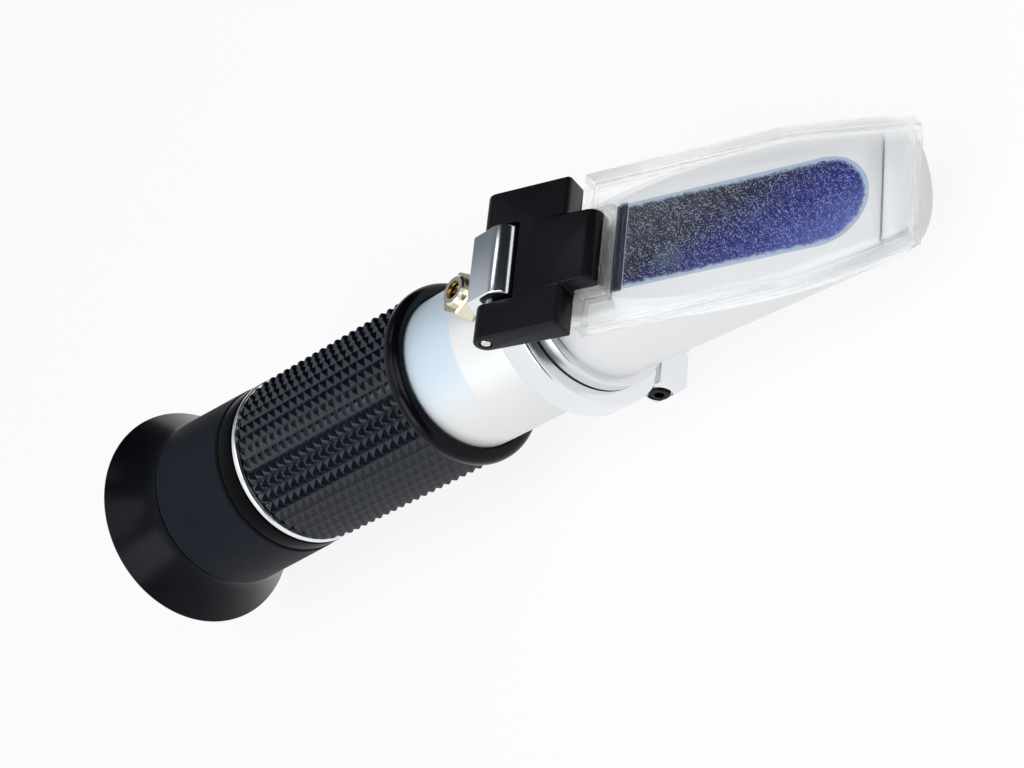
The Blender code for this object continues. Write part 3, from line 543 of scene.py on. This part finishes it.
def makeRearRing():
    r = rearRing
    rear = r["front"] - r["width"]
    inner = grip["bore"]
    profile = [(rear, inner)] + arc(rear + r["edge"], r["radius"] - r["edge"], r["edge"], 180, 90)
    profile += arc(r["front"] - r["edge"], r["radius"] - r["edge"], r["edge"], 90, 0) + [(r["front"], inner)]
    ring = meshObject("brightRing", turned(profile))
    fit(ring, "instrument_body", "chrome_ring", brightMetal)


print("eyepiece")
housing = {"front": -45.3 * mm, "length": 15.0 * mm, "radius": 14.6 * mm, "bore": 9.3 * mm, "band": 3.8 * mm,
           "neckRadius": 13.4 * mm, "spigotRadius": 10.9 * mm, "spigot": 7.3 * mm, "discBore": 10.1 * mm,
           "discRoom": 3.4 * mm, "edge": 0.4 * mm}


def makeHousing():
    h = housing
    rear = h["front"] - h["length"]
    tip = h["front"] + h["spigot"]
    step = h["front"] - h["band"]
    profile = [(rear, h["bore"])] + arc(rear + h["edge"], h["neckRadius"] - h["edge"], h["edge"], 180, 90, 5)
    profile += [(step, h["neckRadius"])]
    profile += arc(step + h["edge"], h["radius"] - h["edge"], h["edge"], 180, 90, 5)
    profile += arc(h["front"] - h["edge"], h["radius"] - h["edge"], h["edge"], 90, 0, 5)
    profile += [(h["front"], h["spigotRadius"]), (tip, h["spigotRadius"]), (tip, h["discBore"]),
                (tip - h["discRoom"], h["discBore"]), (tip - h["discRoom"], h["bore"])]
    tube = meshObject("eyepieceHousing", turned(profile))
    fit(tube, "instrument_body", "eyepiece_housing", bandPlastic)


focus = {"front": -49.4 * mm, "rear": -67.5 * mm, "frontRadius": 14.75 * mm, "rearRadius": 15.1 * mm,
         "bore": 13.7 * mm, "web": 1.9 * mm, "webBore": 9.3 * mm, "spigotRadius": 12.8 * mm,
         "spigot": 3.5 * mm, "ribs": 150, "ribDepth": 0.07 * mm, "land": 1.5 * mm, "edge": 0.3 * mm,
         "rings": 12}


def makeFocusRing():
    f = focus
    e = f["edge"]
    span = f["front"] - f["rear"]
    ribbed = [f["rear"] + span * i / f["rings"] for i in range(f["rings"] + 1)]

    def outer(x):
        return f["rearRadius"] + (f["frontRadius"] - f["rearRadius"]) * (x - f["rear"]) / span

    def wave(x, radius, i):
        inside = f["rear"] + f["land"] < x < f["front"] - f["land"]
        return -f["ribDepth"] if inside and radius > f["bore"] and i % 2 else 0

    shell = [(x, outer(x)) for x in reversed(ribbed[1:-1])]
    tip = f["rear"] - f["spigot"]
    webFront = f["rear"] + f["web"]
    profile = [(f["front"], f["bore"])]
    profile += [(f["front"], outer(f["front"]) - e), (f["front"] - e, outer(f["front"]))]
    profile += shell + [(f["rear"] + e, outer(f["rear"])), (f["rear"], outer(f["rear"]) - e)]
    profile += [(f["rear"], f["spigotRadius"]), (tip, f["spigotRadius"]), (tip, f["webBore"]),
                (webFront, f["webBore"]), (webFront, f["bore"])]
    ring = meshObject("focusRing", turned(profile, 2 * f["ribs"], wave=wave), angle=25)
    fit(ring, "focus_group", "focus_ring", ringPlastic)


cup = {"front": -67.8 * mm, "length": 9.7 * mm, "rimRadius": 19.2 * mm, "neckRadius": 14.9 * mm,
       "floorFront": -71.3 * mm, "floor": 1.1 * mm, "hole": 8.4 * mm, "bore": 13.1 * mm, "land": 0.9 * mm,
       "round": 0.35 * mm, "wall": 1.7 * mm, "power": 1.35, "rings": 24}


def makeEyecup():
    c = cup
    rim = c["front"] - c["length"]
    rise = c["rimRadius"] - c["neckRadius"]
    shares = [i / c["rings"] for i in range(c["rings"] + 1)]
    flare = c["length"] - c["round"]
    outer = [(c["front"] - flare * s, c["neckRadius"] + rise * s ** c["power"]) for s in shares]
    floorRear = c["floorFront"] - c["floor"]
    top = c["rimRadius"] - c["round"] - c["land"]
    low = c["neckRadius"] - c["wall"]
    bowl = [(rim + (floorRear - rim) * s, top - (top - low) * s ** c["power"]) for s in shares]
    corner = arc(rim + c["round"], c["rimRadius"] - c["round"], c["round"], 90, 180, 6)
    profile = [(c["floorFront"], c["bore"]), (c["front"], c["bore"])] + outer[:-1] + corner + bowl
    profile += [(floorRear, c["hole"]), (c["floorFront"], c["hole"])]
    rubberCup = meshObject("eyecup", turned(profile), angle=40)
    fit(rubberCup, "focus_group", "eyecup", cupRubber)


print("collar, hinge and head")
collar = {"rear": 23.9 * mm, "front": 28.75 * mm, "radius": 15.98 * mm, "bore": 13.0 * mm, "edge": 0.4 * mm,
          "lugTop": 18.1 * mm, "lugFlatRear": 22.9 * mm, "lugFoot": 20.4 * mm, "lugShoulder": 13.6 * mm,
          "lugReach": 4.4 * mm, "lugNose": 2.5 * mm, "lugHalf": 5.85 * mm, "lugRoot": 11.0 * mm,
          "lugEdge": 0.45 * mm, "earHalf": 7.4 * mm, "foot": 19.6 * mm, "earCorner": 1.5 * mm,
          "earRoot": 10.2 * mm, "padRoot": 14.16 * mm, "earStep": 0.2 * mm, "earProud": 0.6 * mm,
          "earEdge": 0.25 * mm, "slit": 0.8 * mm, "screwDrop": 16.5 * mm, "screwHole": 1.4 * mm,
          "headRoom": 2.1 * mm, "headSeat": 1.5 * mm, "pinHole": 1.0 * mm}
slopeCut = {"relief": -2.275 * mm, "shoulder": -2.925 * mm, "reach": 66.1 * mm, "high": 40 * mm}


def slopeSpot(along, height):
    s = hinge["slope"]
    x = hinge["pinX"] + along * math.cos(s) + height * math.sin(s)
    return x, hinge["pinZ"] - along * math.sin(s) + height * math.cos(s)


# the outline of all that is cut away above the slope, which steps from one height to the other at stepX
def aboveSlope(rearHeight, frontHeight, stepX):
    def along(height):
        return (stepX - slopeSpot(0, height)[0]) / math.cos(hinge["slope"])

    high = slopeCut["high"]
    reach = slopeCut["reach"]
    return [slopeSpot(-collar["radius"], rearHeight), slopeSpot(along(rearHeight), rearHeight),
            slopeSpot(along(frontHeight), frontHeight), slopeSpot(reach, frontHeight),
            slopeSpot(reach, high), (collar["rear"], high), (0, high)]


def makeCollar():
    c = collar
    e = c["edge"]
    disc = [(c["rear"], 0)] + arc(c["rear"] + e, c["radius"] - e, e, 180, 90, 5)
    disc += arc(c["front"] - e, c["radius"] - e, e, 90, 0, 5) + [(c["front"], 0)]
    ring = meshObject("hingeCollar", turned(disc, closed=False))
    wide = c["radius"] + overrun
    relief = slopeCut["relief"]
    carve(ring, meshObject("room", sideSolid(aboveSlope(relief, relief, c["front"]), wide)))

    noseX = hinge["pinX"] + c["lugReach"] - c["lugNose"]
    foot = -math.degrees(math.acos((c["front"] - noseX) / c["lugNose"]))
    front = arc(noseX, c["lugTop"] - c["lugNose"], c["lugNose"], 90, foot, 28)
    outline = [(c["lugFoot"], c["lugRoot"]), (c["lugFoot"], c["lugShoulder"])]
    outline += [(c["lugFlatRear"], c["lugTop"])] + front + [(c["front"] - e, c["lugRoot"])]
    lug = meshObject("lug", sideSolid(outline, c["lugHalf"]))
    soften(lug, c["lugEdge"], 4)
    carve(ring, lug, "UNION")

    half = c["earHalf"]
    corner = c["earCorner"]
    for root, end in ((c["earRoot"], c["front"] - c["earStep"]), (c["padRoot"], c["front"] + c["earProud"])):
        outline = [(-half, -root), (-half, -c["foot"] + corner), (-half + corner, -c["foot"]),
                   (half - corner, -c["foot"]), (half, -c["foot"] + corner), (half, -root)]
        start = c["rear"] + c["earStep"]
        ears = meshObject("ears", pushed([(start, y, z) for y, z in outline], (end - start, 0, 0)))
        soften(ears, c["earEdge"])
        carve(ring, ears, "UNION")
    bore = roundBar(0, 0, c["bore"], c["lugFoot"] - overrun, c["front"] + overrun, "x", fineTurn)
    carve(ring, meshObject("bore", bore))
    slit = boxSolid((0, -c["slit"] / 2, -c["foot"] - overrun), (c["front"] + overrun, c["slit"] / 2, 0))
    carve(ring, meshObject("slit", slit))
    middle = (c["rear"] + c["earStep"] + c["front"] + c["earProud"]) / 2
    drop = -c["screwDrop"]
    carve(ring, meshObject("screwHole", roundBar(middle, drop, c["screwHole"], -wide, wide, "y")))
    room = roundBar(middle, drop, c["headRoom"], -wide, c["headSeat"] - half, "y")
    carve(ring, meshObject("headRoom", room))
    carve(ring, meshObject("pinHole", roundBar(hinge["pinX"], hinge["pinZ"], c["pinHole"], -wide, wide, "y")))
    fit(ring, "instrument_body", "hinge_collar", brightMetal)


head = {"spigotRear": 22.05 * mm, "spigotRadius": 10.9 * mm, "bossRear": 29.05 * mm, "bossRadius": 13.56 * mm,
        "bossFront": 31.3 * mm, "root": 12.2 * mm, "noseRadius": 14.1 * mm, "noseX": 85.1 * mm,
        "noseRound": 0.9 * mm, "softEdge": 0.25 * mm,
        "landRadius": 11.3 * mm, "landRear": 19.7 * mm, "landFront": 60.7 * mm, "landTop": -1.125 * mm,
        "landRoot": 3.0 * mm, "groove": 0.22 * mm, "ledgeFront": 64.6 * mm, "ledgeTop": -1.35 * mm,
        "ledgeHalf": 8.3 * mm, "pathRadius": 5.4 * mm, "pathDrop": 0.8 * mm, "edge": 0.3 * mm,
        "sealDepth": 1.6 * mm, "pocketGap": 0.06 * mm}
prism = {"rear": 21.1 * mm, "front": 58.8 * mm, "half": 7.2 * mm, "floor": 8.0 * mm, "high": 16 * mm}
seal = {"rear": 19.15 * mm, "width": 0.9 * mm, "beads": 2, "depth": 1.6 * mm}


# the prism's form, or its pocket when grown: a tongue along the slope, with an upright rear and a level floor
def prismSolid(name, grow):
    half = prism["half"] + grow
    tip = arc(prism["front"] - prism["half"], 0, half, -90, 90, 40)
    rear = prism["rear"] - prism["floor"]
    top = head["landTop"] + (overrun if grow else 0)
    bottom = slopeCut["shoulder"] - prism["floor"] - grow
    body = meshObject(name, planSolid([(rear, -half)] + tip + [(rear, half)], bottom, top), slopePlace)
    rearX = slopeSpot(prism["rear"], head["landTop"])[0] - grow
    wide = barrel["radius"]
    wedge = boxSolid((rearX, -wide, -prism["floor"] - grow), (head["noseX"], wide, prism["high"]))
    carve(body, meshObject("wedge", wedge), "INTERSECT")
    return body


def makeHead():
    h = head
    nose = arc(h["noseX"] - h["noseRound"], h["noseRadius"] - h["noseRound"], h["noseRound"], 90, 0, 10)
    corner = arc(h["bossFront"] - h["edge"], h["bossRadius"] - h["edge"], h["edge"], 90, 0, 4)
    profile = [(h["spigotRear"], 0), (h["spigotRear"], h["spigotRadius"]), (h["bossRear"], h["spigotRadius"]),
               (h["bossRear"], h["bossRadius"])] + corner + [(h["bossFront"], h["root"])] + nose
    body = meshObject("prismHead", turned(profile + [(h["noseX"], 0)], closed=False))
    wide = collar["radius"] + overrun
    room = sideSolid(aboveSlope(slopeCut["relief"], slopeCut["shoulder"], h["bossFront"]), wide)
    carve(body, meshObject("room", room))

    root = slopeCut["shoulder"] - h["landRoot"]
    land = boxSolid((h["landRear"], -wide, root), (h["landFront"], wide, h["landTop"]))
    island = meshObject("island", land, slopePlace)
    ledge = boxSolid((h["landFront"] + h["groove"], -h["ledgeHalf"], root),
                     (h["ledgeFront"], h["ledgeHalf"], h["ledgeTop"]))
    carve(island, meshObject("ledge", ledge, slopePlace), "UNION")
    core = roundBar(0, 0, h["landRadius"], h["bossFront"], h["noseX"], "x", fineTurn)
    carve(island, meshObject("core", core), "INTERSECT")
    soften(island, h["softEdge"], 3, 50)
    carve(body, island, "UNION")
    carve(body, prismSolid("pocket", head["pocketGap"]))
    room = boxSolid((seal["rear"] - overrun, -prism["half"] - gap, h["landTop"] - h["sealDepth"] - gap),
                    (prism["rear"], prism["half"] + gap, h["landTop"] + overrun))
    carve(body, meshObject("sealRoom", room, slopePlace))
    path = roundBar(0, -h["pathDrop"], h["pathRadius"], h["spigotRear"] - overrun,
                    slopeSpot(prism["rear"], 0)[0] + overrun, "x")
    carve(body, meshObject("path", path))
    fit(body, "instrument_body", "prism_head", casting)

    glass = prismSolid("prismBlock", 0.0)
    fit(glass, "instrument_body", "prism", prismBlue())

    half = seal["width"] / 2
    side = [(seal["rear"], h["landTop"] - seal["depth"])]
    for i in range(seal["beads"]):
        side += arc(seal["rear"] + half * (2 * i + 1), h["landTop"] - half, half, 180, 0, 14)[:-1]
    side += [(seal["rear"] + 2 * half * seal["beads"], h["landTop"] - half)]
    side += [(seal["rear"] + 2 * half * seal["beads"], h["landTop"] - seal["depth"])]
    strip = meshObject("prismSeal", sideSolid(side, prism["half"]), slopePlace)
    fit(strip, "instrument_body", "prism_seal", sealRubber)


block = {"half": 12.55 * mm, "thick": 3.75 * mm, "notchHalf": 6.6 * mm, "notchFront": 4.7 * mm,
         "tongueHalf": 5.9 * mm, "tongueFront": 17.8 * mm, "tongueRoot": 8.0 * mm, "tongueRound": 2.0 * mm,
         "front": 12.7 * mm, "armDrop": 0.5 * mm, "armRound": 0.7 * mm, "edge": 0.3 * mm, "bore": 0.98 * mm}
pin = {"radius": 0.9 * mm, "half": 12.45 * mm, "edge": 0.2 * mm}


def makeHingeBlock():
    b = block
    half = b["thick"] / 2

    def slab(front, edge, rear):
        return rear + arc(front - edge, half - edge, edge, 90, 0, 10) + [(front, -half)]

    side = slab(b["front"], b["armRound"], arc(0, 0, half, 270, 90, 24))
    side[-1] = (b["front"], -half - b["armDrop"])
    body = meshObject("hingeBlock", sideSolid(side, b["half"]), slopePlace)
    tongue = slab(b["tongueFront"], b["tongueRound"], [(b["tongueRoot"], -half), (b["tongueRoot"], half)])
    carve(body, meshObject("tongue", sideSolid(tongue, b["tongueHalf"]), slopePlace), "UNION")
    deep = b["thick"]
    notch = boxSolid((-deep, -b["notchHalf"], -deep), (b["notchFront"], b["notchHalf"], deep))
    carve(body, meshObject("notch", notch, slopePlace))
    soften(body, b["edge"], 3, 40)
    bore = roundBar(0, 0, b["bore"], -b["half"] - overrun, b["half"] + overrun, "y")
    carve(body, meshObject("bore", bore, slopePlace))
    fit(body, "cover", "hinge_block", blockPlastic)

    bar = roundBar(hinge["pinX"], hinge["pinZ"], pin["radius"], -pin["half"], pin["half"], "y",
                   chamfer=pin["edge"])
    fit(meshObject("hingePin", bar), "instrument_body", "hinge_pin", steel)


plate = {"rear": 14.4 * mm, "length": 51.7 * mm, "half": 13.05 * mm, "tipHalf": 9.7 * mm,
         "taperStart": 31.0 * mm, "taperPower": 1.25, "taperSteps": 16, "top": 0.575 * mm, "thick": 1.4 * mm,
         "depth": 3.1 * mm, "wall": 1.15 * mm, "notchHalf": 6.9 * mm, "notchDepth": 3.7 * mm,
         "edge": 0.18 * mm}


def makeCoverPlate():
    p = plate
    side = [(p["rear"], p["notchHalf"]), (p["rear"], p["half"])]
    for i in range(p["taperSteps"] + 1):
        share = i / p["taperSteps"]
        along = p["rear"] + p["taperStart"] + (p["length"] - p["taperStart"]) * share
        side.append((along, p["half"] - (p["half"] - p["tipHalf"]) * share ** p["taperPower"]))
    far = [(p["rear"] + p["notchDepth"], p["notchHalf"])] + side
    outline = far + [(along, -across) for along, across in reversed(far)]
    bm = planSolid(outline, p["top"] - p["depth"], p["top"])
    bmesh.ops.recalc_face_normals(bm, faces=bm.faces)
    under = min(bm.faces, key=lambda face: face.calc_center_median().z)
    bmesh.ops.inset_region(bm, faces=[under], thickness=p["wall"])
    grown = bmesh.ops.extrude_face_region(bm, geom=[under])
    verts = [v for v in grown["geom"] if isinstance(v, bmesh.types.BMVert)]
    bmesh.ops.translate(bm, verts=verts, vec=(0, 0, p["depth"] - p["thick"]))
    bmesh.ops.delete(bm, geom=[under], context="FACES_ONLY")
    tray = meshObject("coverPlate", bm, slopePlace)
    soften(tray, p["edge"], 3, 40)
    fit(tray, "cover", "cover_plate", coverClear())


print("screws")
bush = {"flats": 6.4 * mm, "hexTop": 15.7 * mm, "hexEdge": 0.25 * mm, "radius": 2.45 * mm, "top": 16.6 * mm,
        "bore": 1.9 * mm, "root": 8 * mm, "seat": 13.0 * mm, "seatHalf": 6 * mm, "edge": 0.3 * mm,
        "mouth": 1.45 * mm, "lip": 0.6 * mm}
screw = {"radius": 1.6 * mm, "bottom": 9.0 * mm, "drop": 0.9 * mm, "edge": 0.15 * mm, "slot": 0.5 * mm,
         "slotHalf": 3 * mm, "slotDepth": 0.7 * mm}
clamp = {"radius": 1.1 * mm, "headRadius": 1.7 * mm, "head": 1.4 * mm, "headEdge": 0.25 * mm,
         "edge": 0.2 * mm, "sink": 1.2 * mm, "socket": 0.9 * mm, "socketDepth": 0.8 * mm}


def makeBush():
    b = bush
    x = barrel["screwX"]
    corner = b["flats"] / 2 / math.cos(math.pi / 6)
    body = meshObject("calibrationBush", roundBar(x, 0, corner, b["root"], b["hexTop"], "z", 6, b["hexEdge"]))
    top = roundBar(x, 0, b["radius"], b["hexTop"] - b["edge"], b["top"], "z", smallTurn, b["edge"])
    carve(body, meshObject("top", top), "UNION")
    saddle = roundBar(0, 0, b["seat"], x - b["seatHalf"], x + b["seatHalf"], "x", fineTurn)
    carve(body, meshObject("saddle", saddle))
    carve(body, meshObject("bore", roundBar(x, 0, b["bore"], 0, b["top"] - b["lip"], "z")))
    carve(body, meshObject("mouth", roundBar(x, 0, b["mouth"], 0, 2 * b["top"], "z")))
    fit(body, "instrument_body", "calibration_bush", brass)

    s = screw
    top = b["top"] - s["drop"]
    bar = roundBar(x, 0, s["radius"], s["bottom"], top, "z", smallTurn, s["edge"])
    body = meshObject("calibrationScrew", bar)
    wide = s["slotHalf"]
    half = s["slot"] / 2
    slot = boxSolid((x - wide, -half, top - s["slotDepth"]), (x + wide, half, top + overrun))
    carve(body, meshObject("slot", slot))
    # darker brass here is painted shade of the bore
    fit(body, "calibration_group", "calibration_screw", recessShadedBrass)


def makeClampScrew():
    c = clamp
    middle = (collar["rear"] + collar["earStep"] + collar["front"] + collar["earProud"]) / 2
    drop = -collar["screwDrop"]
    inner = c["sink"] - collar["earHalf"]
    outer = inner - c["head"]
    top = roundBar(middle, drop, c["headRadius"], outer, inner, "y", chamfer=c["headEdge"])
    body = meshObject("clampScrew", top)
    shank = roundBar(middle, drop, c["radius"], inner - gap, collar["earHalf"], "y", chamfer=c["edge"])
    carve(body, meshObject("shank", shank), "UNION")
    socket = roundBar(middle, drop, c["socket"], outer - overrun, outer + c["socketDepth"], "y", 6)
    carve(body, meshObject("socket", socket))
    fit(body, "instrument_body", "clamp_screw", oxide)


for make in (makeBarrel, makeGrip, makeGripCollar, makeRearRing, makeHousing, makeFocusRing, makeEyecup,
             makeCollar, makeHead, makeHingeBlock, makeCoverPlate, makeBush, makeClampScrew):
    make()

# these show nowhere or hardly, so the solids themselves are dressed
print("inner pieces")
inside = {
    "light_baffle": flatBlack, "reticle_disc": lensGlass, "reticle_retaining_ring": flatBlack,
    "temperature_strip": steel, "strip_anchor": flatBlack,
    "eyepiece_cell": flatBlack, "eye_lens": lensGlass, "field_lens": lensGlass, "lens_spacer": flatBlack,
    "lens_retaining_ring": flatBlack, "cell_snap_ring": steel, "objective_cell": flatBlack,
    "objective_lens": lensGlass, "objective_retaining_ring": flatBlack,
}
for node, finish in inside.items():
    dress(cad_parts[node], finish)
    smooth(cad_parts[node])

# the camera was fitted to the outlines in the photograph; its place is from axisStart
print("camera, floor and light")
shot = {"place": Vector((299.49 * mm, -208.36 * mm, 210.88 * mm)), "lens": 94.91, "sensor": 36.0,
        "right": (0.62993686, 0.09341848, -0.77100748), "up": (0.33079717, 0.86591357, 0.37518918),
        "back": (0.70267544, -0.49139259, 0.51456831), "near": 0.01}


def makeCamera():
    data = bpy.data.cameras.new("camera")
    data.lens = shot["lens"]
    data.sensor_width = shot["sensor"]
    data.clip_start = shot["near"]
    camera = bpy.data.objects.new("camera", data)
    bpy.context.scene.collection.objects.link(camera)
    turn = Matrix((shot["right"], shot["up"], shot["back"])).transposed()
    camera.matrix_world = Matrix.Translation(shot["place"] + axisStart) @ turn.to_4x4()
    bpy.context.scene.camera = camera


lamps = {
    "key": {"place": (-0.10, -0.80, 0.60), "size": 0.60, "power": 3.0},
    "top": {"place": (0.10, -0.15, 0.95), "size": 0.60, "power": 2.2},
    "fill": {"place": (0.26, -0.05, 0.24), "size": 0.20, "power": 0.33},
    "over": {"place": (0.0, 0.345, 0.62), "size": 0.20, "power": 0.2},
}
sky = {"toward": (-0.75, -0.55, 0.37), "bright": 0.97, "start": 0.12, "full": 0.85,
       "dark": 0.02, "faint": 0.24, "faintStart": -0.4, "faintFull": 0.5, "tint": (0.78, 0.89, 1.0, 1.0)}


def makeLights():
    middle = Vector((0.0, 0.0, axisStart.z))
    for name, lamp in lamps.items():
        data = bpy.data.lights.new(name, "AREA")
        data.energy = lamp["power"]
        data.size = lamp["size"]
        item = bpy.data.objects.new(name, data)
        item.location = lamp["place"]
        item.rotation_euler = (middle - item.location).to_track_quat("-Z", "Y").to_euler()
        bpy.context.scene.collection.objects.link(item)


# the floor glows for rays that see it, so that it stays near white, and still takes a soft shadow
paleFloor = {"color": (0.85, 0.85, 0.85), "roughness": 0.9, "glow": 0.88, "half": 3.0}


def makeFloor():
    finish = Finish("paleFloor", paleFloor["color"], paleFloor["roughness"])
    kinds = ("Is Camera Ray", "Is Glossy Ray", "Is Transmission Ray")
    camera, glossy, through = [finish.node("ShaderNodeLightPath", {}, {}, kind) for kind in kinds]
    seen = camera.greater(glossy).greater(through)
    glow = finish.node("ShaderNodeEmission", {}, {"Color": (1, 1, 1, 1), "Strength": 1.0})
    plain = Wire(finish, finish.shader.outputs[0])
    mixed = finish.node("ShaderNodeMixShader", {}, {0: seen * paleFloor["glow"], 1: plain, 2: glow})
    finish.join(finish.tree.nodes["Material Output"].inputs["Surface"], mixed)
    bm = bmesh.new()
    bmesh.ops.create_grid(bm, x_segments=2, y_segments=2, size=paleFloor["half"])
    floor = meshObject("floor", bm, Matrix.Identity(4))
    dress(floor, finish)


# white to the camera and through glass; for reflections and light, a bright lobe and a faint bluish one
def makeWorld():
    world = bpy.data.worlds.new("studio")
    tree = Tree(world)
    bpy.context.scene.world = world
    facing = tree.node("ShaderNodeTexCoord", {}, {}, "Generated")
    dot = {"operation": "DOT_PRODUCT"}
    toward = tree.node("ShaderNodeVectorMath", dot, {0: facing, 1: sky["toward"]}, "Value")
    ranges = ((sky["start"], sky["full"], 0.0, sky["bright"]),
              (sky["faintStart"], sky["faintFull"], sky["dark"], sky["faint"]))
    lobes = [tree.node("ShaderNodeMapRange", {"interpolation_type": "SMOOTHSTEP"},
                       {"Value": toward, "From Min": low, "From Max": high, "To Min": lowTo,
                        "To Max": highTo}, "Result") for low, high, lowTo, highTo in ranges]
    kinds = ("Is Camera Ray", "Is Transmission Ray", "Is Glossy Ray", "Transmission Depth")
    camera, through, glossy, passed = [tree.node("ShaderNodeLightPath", {}, {}, kind) for kind in kinds]
    inside = tree.calc("MINIMUM", glossy, passed)
    plain = lobes[0].greater(camera).greater(through).greater(inside)
    shade = tree.node("ShaderNodeMix", {"data_type": "RGBA"}, {0: plain, 6: sky["tint"], 7: (1, 1, 1, 1)}, 2)
    back = tree.tree.nodes["Background"]
    tree.join(back.inputs["Color"], shade)
    tree.join(back.inputs["Strength"], plain.greater(lobes[1]))


makeCamera()
makeLights()
makeFloor()
makeWorld()
bpy.context.scene.view_settings.view_transform = "Standard"
